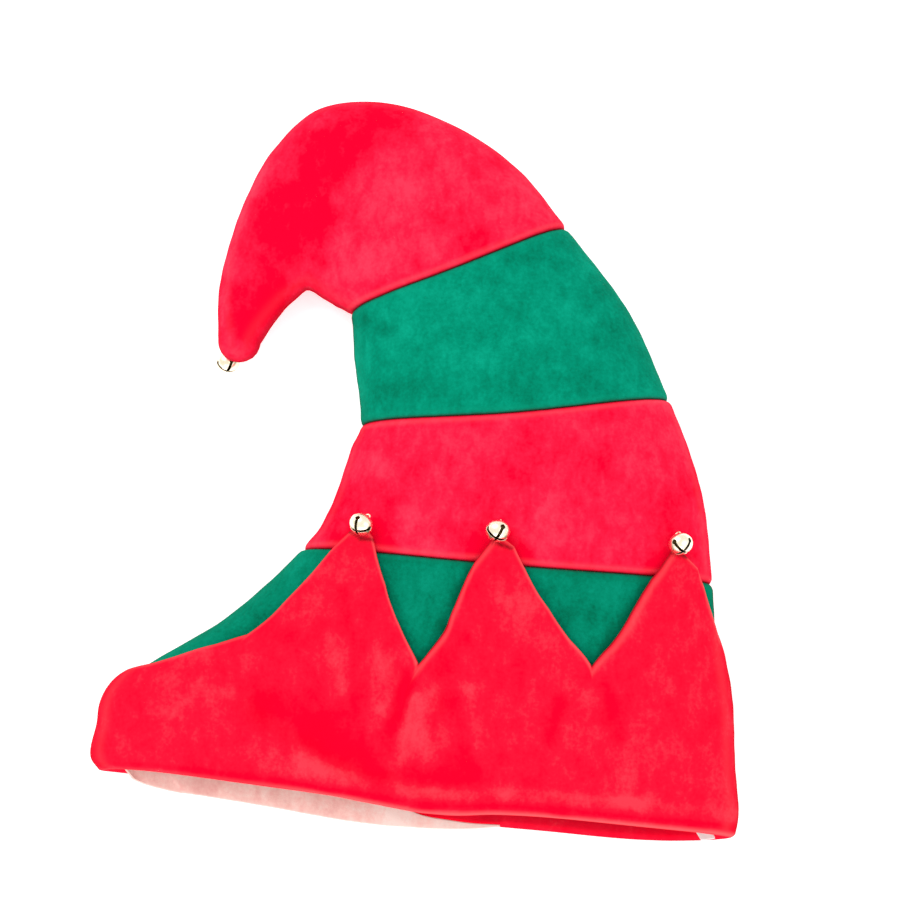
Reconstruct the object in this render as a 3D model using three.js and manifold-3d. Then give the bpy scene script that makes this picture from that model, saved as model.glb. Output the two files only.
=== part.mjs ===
// Elf hat: a soft stocking of red and green velour felt bands with a zigzag cuff and jingle bells.
// It lies on its side as it was laid down, one side seam to the left and one to the right, with
// the tip folded over to the left. Millimetres, +Z up, +Y from the hem to the crown.

import * as THREE from "three";
import { mergeVertices } from "three/addons/utils/BufferGeometryUtils.js";
import Module from "manifold-3d";

const wasm = await Module();
wasm.setup();

// Driving dimensions
const hatWidth = 303; // the hem laid flat, side seam to side seam
const hatLength = 352; // from the hem to the top of the folded crown, laid flat
const puffHeight = 50; // height at which the crown stands off the floor
const clothThickness = 2; // velour felt
const pieceGap = 0.3; // clearance between pieces that meet
const hemTurnIn = 20; // depth of the cuff turned in behind the hem
const pointStand = 0.8; // how far the cuff's points lift off the cloth behind them
const capLength = 9; // length of the rounded end of the tip
const liningThickness = 1.2; // pale strip inside the opening
const liningDepth = 26; // how far the strip reaches in from the hem where it is whole
const liningRoll = 8; // how far the strip rolls out over the lower hem
const labelWidth = 9;
const labelDepth = 16; // how far the label reaches in from the hem
const labelThickness = 0.8;
const labelInset = 1.2; // how far the label's end lies inside the edge of the hem
const bellDiameter = 11;
const tipBellUnder = 1.6; // how far the middle of the tip's bell lies back from the end of the tip
const tipBellAside = 5.6; // how far it lies towards the outer side seam
const bellWall = 0.8;
const bellSlot = 1.7; // width of the cross cut in a bell
const bellLoopWire = 1.1; // thickness of the loop's wire
const bellLoopReach = 2.6; // how far the loop stands off the bell

const upper = 1;
const lower = -1;

// Where the side seams run in plan, from the hem to the tip. Along is the share of the hat's
// middle line, and places are shares of the width and the length. Bow bends the upper or the
// lower panel's cloth towards the hem between the seams, as a share of the width.
const seams = [
  { along: 0.0, leftX: -0.463, leftY: 0.101, rightX: 0.475, rightY: 0.014, topBow: 0.003, baseBow: 0.01 },
  { along: 0.02, leftX: -0.479, leftY: 0.12, rightX: 0.482, rightY: 0.043, topBow: 0.004, baseBow: 0.009 },
  { along: 0.061, leftX: -0.472, leftY: 0.153, rightX: 0.478, rightY: 0.101, topBow: 0.006, baseBow: 0.008 },
  { along: 0.114, leftX: -0.456, leftY: 0.202, rightX: 0.474, rightY: 0.181, topBow: 0.009, baseBow: 0.004 },
  { along: 0.16, leftX: -0.391, leftY: 0.242, rightX: 0.462, rightY: 0.241, topBow: 0.011, baseBow: 0.002 },
  { along: 0.212, leftX: -0.281, leftY: 0.299, rightX: 0.457, rightY: 0.281, topBow: 0.011, baseBow: 0 },
  { along: 0.279, leftX: -0.168, leftY: 0.388, rightX: 0.453, rightY: 0.341, topBow: 0.009, baseBow: 0 },
  { along: 0.344, leftX: -0.126, leftY: 0.444, rightX: 0.443, rightY: 0.444, topBow: 0.013, baseBow: 0 },
  { along: 0.407, leftX: -0.095, leftY: 0.524, rightX: 0.42, rightY: 0.524, topBow: 0.014, baseBow: 0 },
  { along: 0.45, leftX: -0.081, leftY: 0.555, rightX: 0.392, rightY: 0.588, topBow: 0.016, baseBow: 0 },
  { along: 0.534, leftX: -0.092, leftY: 0.645, rightX: 0.333, rightY: 0.708, topBow: 0.013, baseBow: 0 },
  { along: 0.616, leftX: -0.099, leftY: 0.708, rightX: 0.237, rightY: 0.824, topBow: 0.01, baseBow: 0 },
  { along: 0.66, leftX: -0.123, leftY: 0.722, rightX: 0.166, rightY: 0.904, topBow: 0.009, baseBow: 0 },
  { along: 0.71, leftX: -0.143, leftY: 0.733, rightX: 0.069, rightY: 0.966, topBow: 0.008, baseBow: 0 },
  { along: 0.758, leftX: -0.157, leftY: 0.742, rightX: -0.045, rightY: 1.002, topBow: 0.006, baseBow: 0 },
  { along: 0.797, leftX: -0.166, leftY: 0.745, rightX: -0.15, rightY: 0.994, topBow: 0.005, baseBow: 0 },
  { along: 0.832, leftX: -0.172, leftY: 0.743, rightX: -0.221, rightY: 0.938, topBow: 0.004, baseBow: 0 },
  { along: 0.866, leftX: -0.182, leftY: 0.735, rightX: -0.262, rightY: 0.873, topBow: 0.003, baseBow: 0 },
  { along: 0.903, leftX: -0.202, leftY: 0.718, rightX: -0.286, rightY: 0.808, topBow: 0.002, baseBow: 0 },
  { along: 0.939, leftX: -0.222, leftY: 0.692, rightX: -0.31, rightY: 0.742, topBow: 0.001, baseBow: 0 },
  { along: 0.976, leftX: -0.237, leftY: 0.669, rightX: -0.301, rightY: 0.671, topBow: 0, baseBow: 0 },
];

// How far the hem sags past those bows, across each panel, as a share of the width. It fades out
// up the cuff.
const hemLine = [
  { across: 0.0, topSag: 0, baseSag: 0 },
  { across: 0.1, topSag: -0.0025, baseSag: -0.004 },
  { across: 0.25, topSag: 0, baseSag: -0.002 },
  { across: 0.36, topSag: 0.003, baseSag: 0.003 },
  { across: 0.44, topSag: 0.009, baseSag: 0.005 },
  { across: 0.5, topSag: 0.0135, baseSag: 0.0055 },
  { across: 0.56, topSag: 0.0125, baseSag: 0.0065 },
  { across: 0.62, topSag: 0.005, baseSag: 0.009 },
  { across: 0.7, topSag: 0.001, baseSag: 0.011 },
  { across: 0.85, topSag: 0.001, baseSag: 0.009 },
  { across: 1.0, topSag: 0, baseSag: 0 },
];
const sagFades = 0.11;

// Heights as shares of the puff: fold is that of the side seams, top that of the upper panel and
// base that of the lower one, which is pressed flat on the floor if below zero. A large roll is a
// flat panel with quick turns at the seams, and a roll of 2 is an ellipse.
const heights = [
  { along: 0.0, fold: 0.33, top: 0.64, base: -0.03, topRoll: 9, baseRoll: 8 },
  { along: 0.061, fold: 0.36, top: 0.74, base: 0.01, topRoll: 7, baseRoll: 7 },
  { along: 0.114, fold: 0.39, top: 0.83, base: 0.06, topRoll: 5.5, baseRoll: 6 },
  { along: 0.16, fold: 0.42, top: 0.9, base: 0.12, topRoll: 4.5, baseRoll: 5.5 },
  { along: 0.212, fold: 0.45, top: 0.95, base: 0.17, topRoll: 4, baseRoll: 5 },
  { along: 0.279, fold: 0.47, top: 0.98, base: 0.19, topRoll: 3.5, baseRoll: 5 },
  { along: 0.344, fold: 0.47, top: 1.0, base: 0.18, topRoll: 3.5, baseRoll: 5 },
  { along: 0.407, fold: 0.42, top: 1.0, base: 0.06, topRoll: 3.2, baseRoll: 5 },
  { along: 0.45, fold: 0.38, top: 0.98, base: -0.03, topRoll: 3.2, baseRoll: 6 },
  { along: 0.534, fold: 0.35, top: 0.93, base: -0.05, topRoll: 3, baseRoll: 6 },
  { along: 0.616, fold: 0.33, top: 0.87, base: -0.05, topRoll: 3, baseRoll: 6 },
  { along: 0.66, fold: 0.32, top: 0.82, base: -0.05, topRoll: 3, baseRoll: 5.5 },
  { along: 0.758, fold: 0.28, top: 0.72, base: -0.05, topRoll: 2.8, baseRoll: 5 },
  { along: 0.832, fold: 0.25, top: 0.6, base: -0.05, topRoll: 2.6, baseRoll: 4 },
  { along: 0.903, fold: 0.24, top: 0.49, base: -0.01, topRoll: 2.4, baseRoll: 3 },
  { along: 0.939, fold: 0.27, top: 0.45, base: 0.08, topRoll: 2.2, baseRoll: 2.4 },
  { along: 0.976, fold: 0.3, top: 0.43, base: 0.17, topRoll: 2.1, baseRoll: 2.1 },
];

const lowSeam = 0.279; // middle red band to lower green band
const midSeam = 0.45; // upper green band to middle red band
const highSeam = 0.616; // crown tip to upper green band
const capStart = seams[seams.length - 1].along;
const coverFades = 0.34; // past the points, nothing lies under the body

// Corners of the cuff's zigzag edge from the left seam to the right, with the number of columns
// that a panel has up to the next corner. Across is the share of the way round the panel, and
// bulge is how far the edge up to the next corner bows up between them, as a share of along.
const zigzag = [
  { across: 0.0, along: 0.145, bulge: 0, columns: 5, point: false },
  { across: 0.158, along: 0.188, bulge: 0.008, columns: 4, point: false },
  { across: 0.311, along: 0.308, bulge: 0.03, columns: 4, point: true },
  { across: 0.473, along: 0.161, bulge: 0.014, columns: 4, point: false },
  { across: 0.606, along: 0.312, bulge: 0.027, columns: 4, point: true },
  { across: 0.758, along: 0.154, bulge: 0.012, columns: 4, point: false },
  { across: 0.908, along: 0.307, bulge: 0.022, columns: 5, point: true },
  { across: 1.0, along: 0.155, bulge: 0, columns: 0, point: false },
];

// Folds and dents of the upper panel, as strokes between two places in plan. Places and widths
// are shares of the width and the length, and rise is a share of the puff, down if below zero.
const folds = [
  { fromX: -0.33, fromY: 0.19, toX: -0.22, toY: 0.15, width: 0.035, rise: -0.05 },
  { fromX: -0.22, fromY: 0.15, toX: -0.1, toY: 0.1, width: 0.035, rise: -0.07 },
  { fromX: -0.1, fromY: 0.1, toX: 0.05, toY: 0.07, width: 0.035, rise: -0.05 },
  { fromX: -0.3, fromY: 0.13, toX: -0.08, toY: 0.04, width: 0.03, rise: 0.05 },
  { fromX: -0.015, fromY: 0.18, toX: -0.03, toY: 0.12, width: 0.03, rise: -0.04 },
  { fromX: 0.04, fromY: 0.18, toX: 0.055, toY: 0.09, width: 0.03, rise: -0.04 },
  { fromX: 0.25, fromY: 0.17, toX: 0.21, toY: 0.11, width: 0.03, rise: -0.04 },
  { fromX: 0.3, fromY: 0.17, toX: 0.33, toY: 0.12, width: 0.03, rise: -0.04 },
  { fromX: -0.07, fromY: 0.54, toX: -0.03, toY: 0.49, width: 0.035, rise: 0.03 },
  { fromX: -0.09, fromY: 0.69, toX: -0.03, toY: 0.7, width: 0.025, rise: -0.05 },
  { fromX: -0.04, fromY: 0.97, toX: -0.14, toY: 0.78, width: 0.04, rise: -0.06 },
  { fromX: -0.18, fromY: 0.93, toX: -0.26, toY: 0.78, width: 0.03, rise: 0.03 },
];

// How the pale strip's outer edge runs along the lower hem, and how much of its width is left
// where it narrows to a tail. A roll of 1 is rolled out over the hem by the whole roll, and 0 is
// level with the hem.
const liningEdge = [
  { across: 0.034, roll: 1.05, whole: 1 },
  { across: 0.08, roll: 1.1, whole: 1 },
  { across: 0.16, roll: 0.92, whole: 1 },
  { across: 0.3, roll: 0.87, whole: 1 },
  { across: 0.42, roll: 0.84, whole: 0.7 },
  { across: 0.49, roll: 0.72, whole: 0.24 },
  { across: 0.56, roll: 0.5, whole: 0.12 },
  { across: 0.63, roll: 0.05, whole: 0.04 },
];
// The points stand upright where the left seam leans away, so a line up the cuff that starts at one
// share of the way across drifts to a smaller share. 0 is no drift.
const pointLean = 0.55;
const labelAcross = 0.962; // place of the label's middle along the lower hem
const labelSlant = 0.9; // how far it leans to the left for each length that it reaches in

// Way in which each bell lies: turn about its own axis, and lean of its slotted end from upright
const bellLean = 52;
const bellTurns = [20, 65, 40];

// Mesh density
const walkSteps = 48;
const turnSteps = 2;
const hemSteps = 3;
const coverSteps = 2;
const pointSteps = 4;
const middleSteps = 2;
const highColumns = 18;
const highSteps = 4;
const tipColumns = 14;
const tipSteps = 10;
const capSteps = 3;
const bellSides = 8;

// Curve through a column of a table, smooth at each row, by the column that holds its places
function curveThrough(rows, place, column) {
  const slopes = rows.map((row, i) => {
    const before = rows[Math.max(i - 1, 0)];
    const after = rows[Math.min(i + 1, rows.length - 1)];
    return (after[column] - before[column]) / (after[place] - before[place]);
  });
  return (at) => {
    let i = 0;
    while (i < rows.length - 2 && rows[i + 1][place] < at) i += 1;
    const span = rows[i + 1][place] - rows[i][place];
    const t = Math.min(Math.max((at - rows[i][place]) / span, 0), 1);
    const rest = 1 - t;
    const start = rows[i][column] * (1 + 2 * t) * rest * rest;
    const end = rows[i + 1][column] * (3 - 2 * t) * t * t;
    return start + end + span * t * rest * (slopes[i] * rest - slopes[i + 1] * t);
  };
}

const sectionCurves = Object.fromEntries([seams, heights].flatMap((table) => (
  Object.keys(table[0]).map((column) => [column, curveThrough(table, "along", column)])
)));

function fadeBetween(start, end, at) {
  const t = Math.min(Math.max((at - start) / (end - start), 0), 1);
  return t * t * (3 - 2 * t);
}

const hemSags = Object.fromEntries(["topSag", "baseSag"].map((column) => (
  [column, curveThrough(hemLine, "across", column)]
)));

// Share of the way across that a column of the cuff has reached at a place along the hat
const pointsStart = 0.9 * Math.min(...zigzag.slice(1, -1).map((corner) => corner.along));
const pointsEnd = Math.max(...zigzag.map((corner) => corner.along));

function leaning(column, along) {
  return column ** (1 + pointLean * fadeBetween(pointsStart, pointsEnd, along));
}

// The section at a place along the hat, in millimetres
function sectionAt(along) {
  const at = Math.min(along, capStart);
  const share = Object.fromEntries(Object.entries(sectionCurves).map(([name, curve]) => [name, curve(at)]));
  const left = new THREE.Vector2(share.leftX * hatWidth, share.leftY * hatLength);
  const right = new THREE.Vector2(share.rightX * hatWidth, share.rightY * hatLength);
  const middle = left.clone().add(right).multiplyScalar(0.5);
  const half = right.clone().sub(left).multiplyScalar(0.5);
  const towardsHem = new THREE.Vector2(half.y, -half.x).normalize();
  const cover = (clothThickness + pieceGap) * (1 - fadeBetween(lowSeam, coverFades, along));
  const section = {
    middle,
    half,
    towardsHem,
    floor: cover,
    fold: share.fold * puffHeight,
    top: share.top * puffHeight,
    base: share.base * puffHeight + cover,
    topRoll: share.topRoll,
    baseRoll: share.baseRoll,
    topBow: share.topBow * hatWidth,
    baseBow: share.baseBow * hatWidth,
  };
  if (along > capStart) roundOff(section, (along - capStart) / (1 - capStart));
  return section;
}

// The end of the tip closes as a quarter circle, down to the hole that the bell is sewn through
function roundOff(section, share) {
  const hole = 0.15;
  const angle = share * Math.acos(hole);
  section.middle.addScaledVector(section.towardsHem, -Math.sin(angle) * capLength);
  section.half.multiplyScalar(Math.cos(angle));
  section.top = section.fold + (section.top - section.fold) * Math.cos(angle);
  section.base = section.fold + (section.base - section.fold) * Math.cos(angle);
}

// A place round one panel's half of a section: the share of the way across, -1 to 1, and the
// share of the full height, 0 to 1, at an even share of the cloth's width
function profileAt(section, panel, across) {
  const halfWidth = section.half.length();
  const reach = panel === upper ? section.top - section.fold : section.fold - section.base;
  const roll = panel === upper ? section.topRoll : section.baseRoll;
  const height = (angle) => Math.sqrt(Math.max(1 - Math.abs(Math.cos(angle)) ** roll, 0));
  const walked = [0];
  for (let k = 1; k <= walkSteps; k += 1) {
    const from = (Math.PI * (k - 1)) / walkSteps;
    const to = (Math.PI * k) / walkSteps;
    const sideways = (Math.cos(from) - Math.cos(to)) * halfWidth;
    const upwards = (height(to) - height(from)) * reach;
    walked.push(walked[k - 1] + Math.hypot(sideways, upwards));
  }
  const wanted = across * walked[walkSteps];
  let k = 1;
  while (k < walkSteps && walked[k] < wanted) k += 1;
  const part = (wanted - walked[k - 1]) / (walked[k] - walked[k - 1]);
  const angle = (Math.PI * (k - 1 + part)) / walkSteps;
  return { sideways: -Math.cos(angle), height: height(Math.min(Math.max(angle, 0), Math.PI)) };
}

// Height that the folds add to the upper panel at a place in plan
function foldRise(x, y) {
  let rise = 0;
  for (const fold of folds) {
    const from = new THREE.Vector2(fold.fromX * hatWidth, fold.fromY * hatLength);
    const stroke = new THREE.Vector2(fold.toX * hatWidth, fold.toY * hatLength).sub(from);
    const offset = new THREE.Vector2(x, y).sub(from);
    const share = Math.min(Math.max(offset.dot(stroke) / stroke.lengthSq(), 0), 1);
    const distance = offset.addScaledVector(stroke, -share).length() / (fold.width * hatWidth);
    rise += fold.rise * puffHeight * Math.exp(-distance * distance);
  }
  return rise;
}

// Outer face of the body's cloth before the bells below push it up
function plainPoint(panel, across, along) {
  const section = sectionAt(along);
  const { sideways, height } = profileAt(section, panel, across);
  const bow = (panel === upper ? section.topBow : section.baseBow) * (1 - sideways * sideways);
  const sag = hemSags[panel === upper ? "topSag" : "baseSag"](across) * hatWidth;
  const place = section.middle.clone().addScaledVector(section.half, sideways);
  place.addScaledVector(section.towardsHem, bow + sag * (1 - fadeBetween(0, sagFades, along)));
  const level = panel === upper ? section.top : section.base;
  const z = section.fold + (level - section.fold) * height;
  return { point: new THREE.Vector3(place.x, place.y, z), height, floor: section.floor };
}

// The lower panel rides up over each bell that lies under it
const bellSeat = bellDiameter + 2 * pieceGap + clothThickness + pointStand + pieceGap;
const bellPushes = zigzag.filter((corner) => corner.point).map((corner) => {
  const { point, height } = plainPoint(lower, leaning(corner.across, corner.along), corner.along);
  return { place: point, push: Math.max(bellSeat - point.z, 0) / height };
});

function bodyPoint(panel, across, along) {
  const { point, height, floor } = plainPoint(panel, across, along);
  if (panel === upper) {
    point.z += foldRise(point.x, point.y) * height;
    return point;
  }
  for (const { place, push } of bellPushes) {
    const distance = Math.hypot(point.x - place.x, point.y - place.y) / (2 * bellDiameter);
    point.z += push * height * Math.exp(-distance * distance);
  }
  point.z = Math.max(point.z, floor);
  return point;
}

// Outward normal and hem-to-tip direction of the body's cloth, with its length per share along
const probe = 0.002;

function clothFrame(panel, across, along) {
  const a0 = Math.max(across - probe, 0);
  const a1 = Math.min(across + probe, 1);
  const s0 = Math.max(along - probe, 0);
  const s1 = Math.min(along + probe, 1);
  const round = bodyPoint(panel, a1, along).sub(bodyPoint(panel, a0, along)).normalize();
  const step = bodyPoint(panel, across, s1).sub(bodyPoint(panel, across, s0));
  const reach = step.length() / (s1 - s0);
  const forward = step.normalize();
  const normal = round.cross(forward).normalize().multiplyScalar(panel);
  return { normal, forward, reach };
}

// The two panels keep half the gap each along the side seams
function insetAcross(panel, across, along) {
  const seamLength = bodyPoint(panel, 0.5, along).distanceTo(bodyPoint(panel, 0, along)) * 2;
  const inset = pieceGap / seamLength;
  return Math.min(Math.max(across, inset), 1 - inset);
}

// A point of a layer that lies off the body's outer face, outward if the distance is positive
function layerPoint(panel, across, along, distance) {
  const inset = insetAcross(panel, across, along);
  const { normal } = clothFrame(panel, inset, along);
  return bodyPoint(panel, inset, along).addScaledVector(normal, distance);
}

// Shares of the way across for the columns of a panel, closer together at the seams
function evenColumns(count) {
  const packing = 0.5;
  return Array.from({ length: count + 1 }, (_, k) => {
    const share = k / count;
    return share - (packing * Math.sin(2 * Math.PI * share)) / (2 * Math.PI);
  });
}

// The cuff's columns meet every corner of the zigzag, and each has the height of the edge there
const cuffColumns = zigzag.flatMap((corner, i) => {
  const next = zigzag[Math.min(i + 1, zigzag.length - 1)];
  return Array.from({ length: Math.max(corner.columns, 1) }, (_, k) => {
    const share = corner.columns ? k / corner.columns : 0;
    const across = THREE.MathUtils.lerp(corner.across, next.across, share);
    const bowed = corner.bulge * 4 * share * (1 - share);
    return { across, edge: THREE.MathUtils.lerp(corner.along, next.along, share) + bowed };
  });
});

// A closed sheet from columns of point pairs, one point on each face. Up to the row where it turns
// back its quads are split the other way, so that plies over one another have matching faces.
function thickSheet(columns, turnsAt = 0) {
  const rowCount = columns[0].length;
  const positions = [];
  for (const column of columns) {
    for (const [front, back] of column) positions.push(...front.toArray(), ...back.toArray());
  }
  const index = [];
  const corner = (c, r, side) => (c * rowCount + r) * 2 + side;
  const quad = (a, b, c, d) => index.push(a, b, c, a, c, d);
  const face = (r, a, b, c, d) => (r < turnsAt ? quad(b, c, d, a) : quad(a, b, c, d));
  for (let c = 0; c < columns.length - 1; c += 1) {
    for (let r = 0; r < rowCount - 1; r += 1) {
      face(r, corner(c, r, 0), corner(c + 1, r, 0), corner(c + 1, r + 1, 0), corner(c, r + 1, 0));
      face(r, corner(c, r, 1), corner(c, r + 1, 1), corner(c + 1, r + 1, 1), corner(c + 1, r, 1));
    }
    const last = rowCount - 1;
    quad(corner(c, 0, 0), corner(c, 0, 1), corner(c + 1, 0, 1), corner(c + 1, 0, 0));
    quad(corner(c, last, 0), corner(c + 1, last, 0), corner(c + 1, last, 1), corner(c, last, 1));
  }
  for (let r = 0; r < rowCount - 1; r += 1) {
    const last = columns.length - 1;
    quad(corner(0, r, 0), corner(0, r + 1, 0), corner(0, r + 1, 1), corner(0, r, 1));
    quad(corner(last, r, 0), corner(last, r, 1), corner(last, r + 1, 1), corner(last, r + 1, 0));
  }
  const geometry = new THREE.BufferGeometry();
  geometry.setAttribute("position", new THREE.Float32BufferAttribute(positions, 3));
  geometry.setIndex(facingOut(positions, index));
  geometry.computeVertexNormals();
  return geometry;
}

// Turns every face over if the closed sheet is inside out
function facingOut(positions, index) {
  const point = (i) => new THREE.Vector3().fromArray(positions, 3 * i);
  let volume = 0;
  for (let i = 0; i < index.length; i += 3) {
    volume += point(index[i]).dot(point(index[i + 1]).cross(point(index[i + 2])));
  }
  if (volume > 0) return index;
  return index.map((_, i) => index[i - (i % 3) + (2 - (i % 3))]);
}

function evenRows(from, to, steps) {
  return Array.from({ length: steps + 1 }, (_, k) => THREE.MathUtils.lerp(from, to, k / steps));
}

// Middle line of the hat, which turns lengths along the cloth into shares
const middleLine = evenRows(0, capStart, walkSteps).map((along) => sectionAt(along).middle);
const middleSpans = middleLine.slice(1).map((at, k) => at.distanceTo(middleLine[k]));
const middleLength = middleSpans.reduce((sum, span) => sum + span, 0) / capStart;

// A band of body cloth between two places along the hat, with the gap to its neighbours
function bandGeometry(panel, columns, rowsAt, acrossAt = (column) => column) {
  return thickSheet(columns.map((column) => rowsAt(column).map((along) => {
    const across = acrossAt(column, along);
    return [layerPoint(panel, across, along, 0), layerPoint(panel, across, along, -clothThickness)];
  })));
}

function gapShare(panel, across, along) {
  return pieceGap / 2 / clothFrame(panel, across, along).reach;
}

function highRows(panel) {
  return (across) => {
    const start = midSeam + gapShare(panel, across, midSeam);
    return evenRows(start, highSeam - gapShare(panel, across, highSeam), highSteps);
  };
}

// The middle band has a row where the cuff's points end
function middleRows(panel) {
  return (across) => {
    const start = lowSeam + gapShare(panel, across, lowSeam);
    return [start, ...evenRows(pointsEnd, midSeam - gapShare(panel, across, midSeam), middleSteps)];
  };
}

function tipRows(panel) {
  return (across) => {
    const start = highSeam + gapShare(panel, across, highSeam);
    return [...evenRows(start, capStart, tipSteps), ...evenRows(capStart, 1, capSteps).slice(1)];
  };
}

// The round of the hem turns about a line inside the body's cloth, level with its lower edge
const hemOuter = clothThickness * 1.5 + pieceGap;
const hemInner = clothThickness / 2 + pieceGap;
const turnRow = hemTurnIn / middleLength;
const standStarts = 0.5 * pointsStart;
const standReached = 1.1 * pointsStart;

function hemRow(panel, across) {
  return hemOuter / clothFrame(panel, across, probe).reach;
}

// Rows that the cuff and the band behind it share, from the hem to below the zigzag
function coverRows(panel, across) {
  const turned = evenRows(hemRow(panel, across), turnRow, turnSteps);
  return [...turned, ...evenRows(turnRow, pointsStart, coverSteps).slice(1)];
}

function lowBandRows(panel) {
  return (across) => {
    const end = lowSeam - gapShare(panel, across, lowSeam);
    return [...coverRows(panel, across), ...evenRows(pointsStart, end, pointSteps).slice(1)];
  };
}

// A line across the cuff: down the ply turned in, round the hem and up the outer ply to the edge
function cuffColumn(panel, { across, edge }) {
  const plyAt = (along, near, far) => [
    layerPoint(panel, leaning(across, along), along, far),
    layerPoint(panel, leaning(across, along), along, near),
  ];
  const turned = evenRows(turnRow, hemRow(panel, across), turnSteps);
  const under = -clothThickness - pieceGap;
  const inside = turned.map((along) => plyAt(along, under, under - clothThickness));
  const round = [];
  for (let k = 1; k < hemSteps; k += 1) {
    const angle = (Math.PI * k) / hemSteps;
    round.push([hemPoint(panel, across, angle, hemOuter), hemPoint(panel, across, angle, hemInner)]);
  }
  const outerRows = [...coverRows(panel, across), ...evenRows(pointsStart, edge, pointSteps).slice(1)];
  const outside = outerRows.map((along) => {
    const lift = pieceGap + pointStand * fadeBetween(standStarts, standReached, along);
    return plyAt(along, lift, lift + clothThickness);
  });
  return [...inside, ...round, ...outside];
}

function hemPoint(panel, across, angle, radius) {
  const row = hemRow(panel, across);
  const { normal, forward } = clothFrame(panel, insetAcross(panel, across, row), row);
  const centre = layerPoint(panel, across, row, -clothThickness / 2);
  centre.addScaledVector(normal, -radius * Math.cos(angle));
  return centre.addScaledVector(forward, -radius * Math.sin(angle));
}

// The pale strip lies on the ply that is turned in, and rolls out over the lower hem
const liningFace = -2 * clothThickness - 2 * pieceGap;

function liningPoint(across, inwards, depth) {
  const row = hemRow(lower, across);
  if (inwards > 0) return layerPoint(lower, across, row + inwards / middleLength, depth);
  const { forward } = clothFrame(lower, across, row);
  const rolled = layerPoint(lower, across, row, depth).addScaledVector(forward, inwards);
  const droop = 0.06;
  rolled.z -= (droop * inwards * inwards) / liningRoll;
  return rolled;
}

function liningGeometry() {
  const first = liningEdge[0].across;
  const last = liningEdge[liningEdge.length - 1].across;
  const edgeAt = curveThrough(liningEdge, "across", "roll");
  const wholeAt = curveThrough(liningEdge, "across", "whole");
  const acrosses = cuffColumns.map((column) => column.across).filter((at) => at > first && at < last);
  return thickSheet([first, ...acrosses, last].map((across) => {
    const edge = -edgeAt(across) * liningRoll - hemOuter;
    const turned = (turnRow - hemRow(lower, across)) * middleLength;
    const rows = [edge, 0, turned / 2, turned, liningDepth];
    return rows.map((row) => edge + (row - edge) * wholeAt(across)).map((inwards) => [
      liningPoint(across, inwards, liningFace - liningThickness),
      liningPoint(across, inwards, liningFace),
    ]);
  }));
}

// The label lies aslant on the turned-in ply by the right seam
function labelGeometry() {
  const start = labelInset - hemOuter;
  return thickSheet(evenRows(-labelWidth / 2, labelWidth / 2, 2).map((aside) => (
    evenRows(start, labelDepth, 3).map((inwards) => {
      const across = labelAcross + (aside - labelSlant * (inwards - start)) / hatWidth;
      return [
        liningPoint(across, inwards, liningFace - labelThickness),
        liningPoint(across, inwards, liningFace),
      ];
    })
  )));
}

// A closed mesh as a solid that can be joined and cut
function solidOf(geometry) {
  const bare = geometry.clone();
  bare.deleteAttribute("normal");
  bare.deleteAttribute("uv");
  const merged = mergeVertices(bare);
  const triVerts = [];
  const index = merged.index.array;
  for (let i = 0; i < index.length; i += 3) {
    const [a, b, c] = index.slice(i, i + 3);
    if (a !== b && b !== c && c !== a) triVerts.push(a, b, c);
  }
  const vertProperties = merged.attributes.position.array;
  const mesh = new wasm.Mesh({ numProp: 3, vertProperties, triVerts: Uint32Array.from(triVerts) });
  return new wasm.Manifold(mesh);
}

function geometryOf(solid) {
  const mesh = solid.getMesh();
  const geometry = new THREE.BufferGeometry();
  geometry.setAttribute("position", new THREE.Float32BufferAttribute(mesh.vertProperties, 3));
  geometry.setIndex(Array.from(mesh.triVerts));
  geometry.computeVertexNormals();
  return geometry;
}

// A hollow jingle bell about the origin: its loop on +Y, a cross cut through its end at -Y
function bellGeometry() {
  const radius = bellDiameter / 2;
  const ball = (size, rings) => {
    const arc = Array.from({ length: rings + 1 }, (_, k) => {
      const angle = (Math.PI * k) / rings;
      const onAxis = k === 0 || k === rings;
      return new THREE.Vector2(onAxis ? 0 : Math.sin(angle) * size, -Math.cos(angle) * size);
    });
    return solidOf(new THREE.LatheGeometry(arc, bellSides));
  };
  const loopSize = bellLoopReach / 2;
  const loop = new THREE.TorusGeometry(loopSize, bellLoopWire / 2, 3, 6);
  loop.translate(0, radius + bellLoopReach - loopSize - bellLoopWire / 2, 0);
  const slot = new THREE.BoxGeometry(bellSlot, radius * 0.9, bellDiameter * 1.2);
  slot.translate(0, -radius * 0.6, 0);
  const crossing = slot.clone().rotateY(Math.PI / 2);
  const shell = ball(radius, 5).subtract(ball(radius - bellWall, 3));
  return geometryOf(shell.add(solidOf(loop)).subtract(solidOf(slot)).subtract(solidOf(crossing)));
}

// Materials
const felt = (color) => new THREE.MeshStandardMaterial({ color, roughness: 0.95, metalness: 0 });
const colours = { red: 0xfa1f43, green: 0x029675, strip: 0xfdcdc3, label: 0xfaeee6, gold: 0xe0bf6a };

const hat = new THREE.Group();

function addPiece(name, geometry, material) {
  const mesh = new THREE.Mesh(geometry, material);
  mesh.name = name;
  hat.add(mesh);
  return mesh;
}

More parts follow.
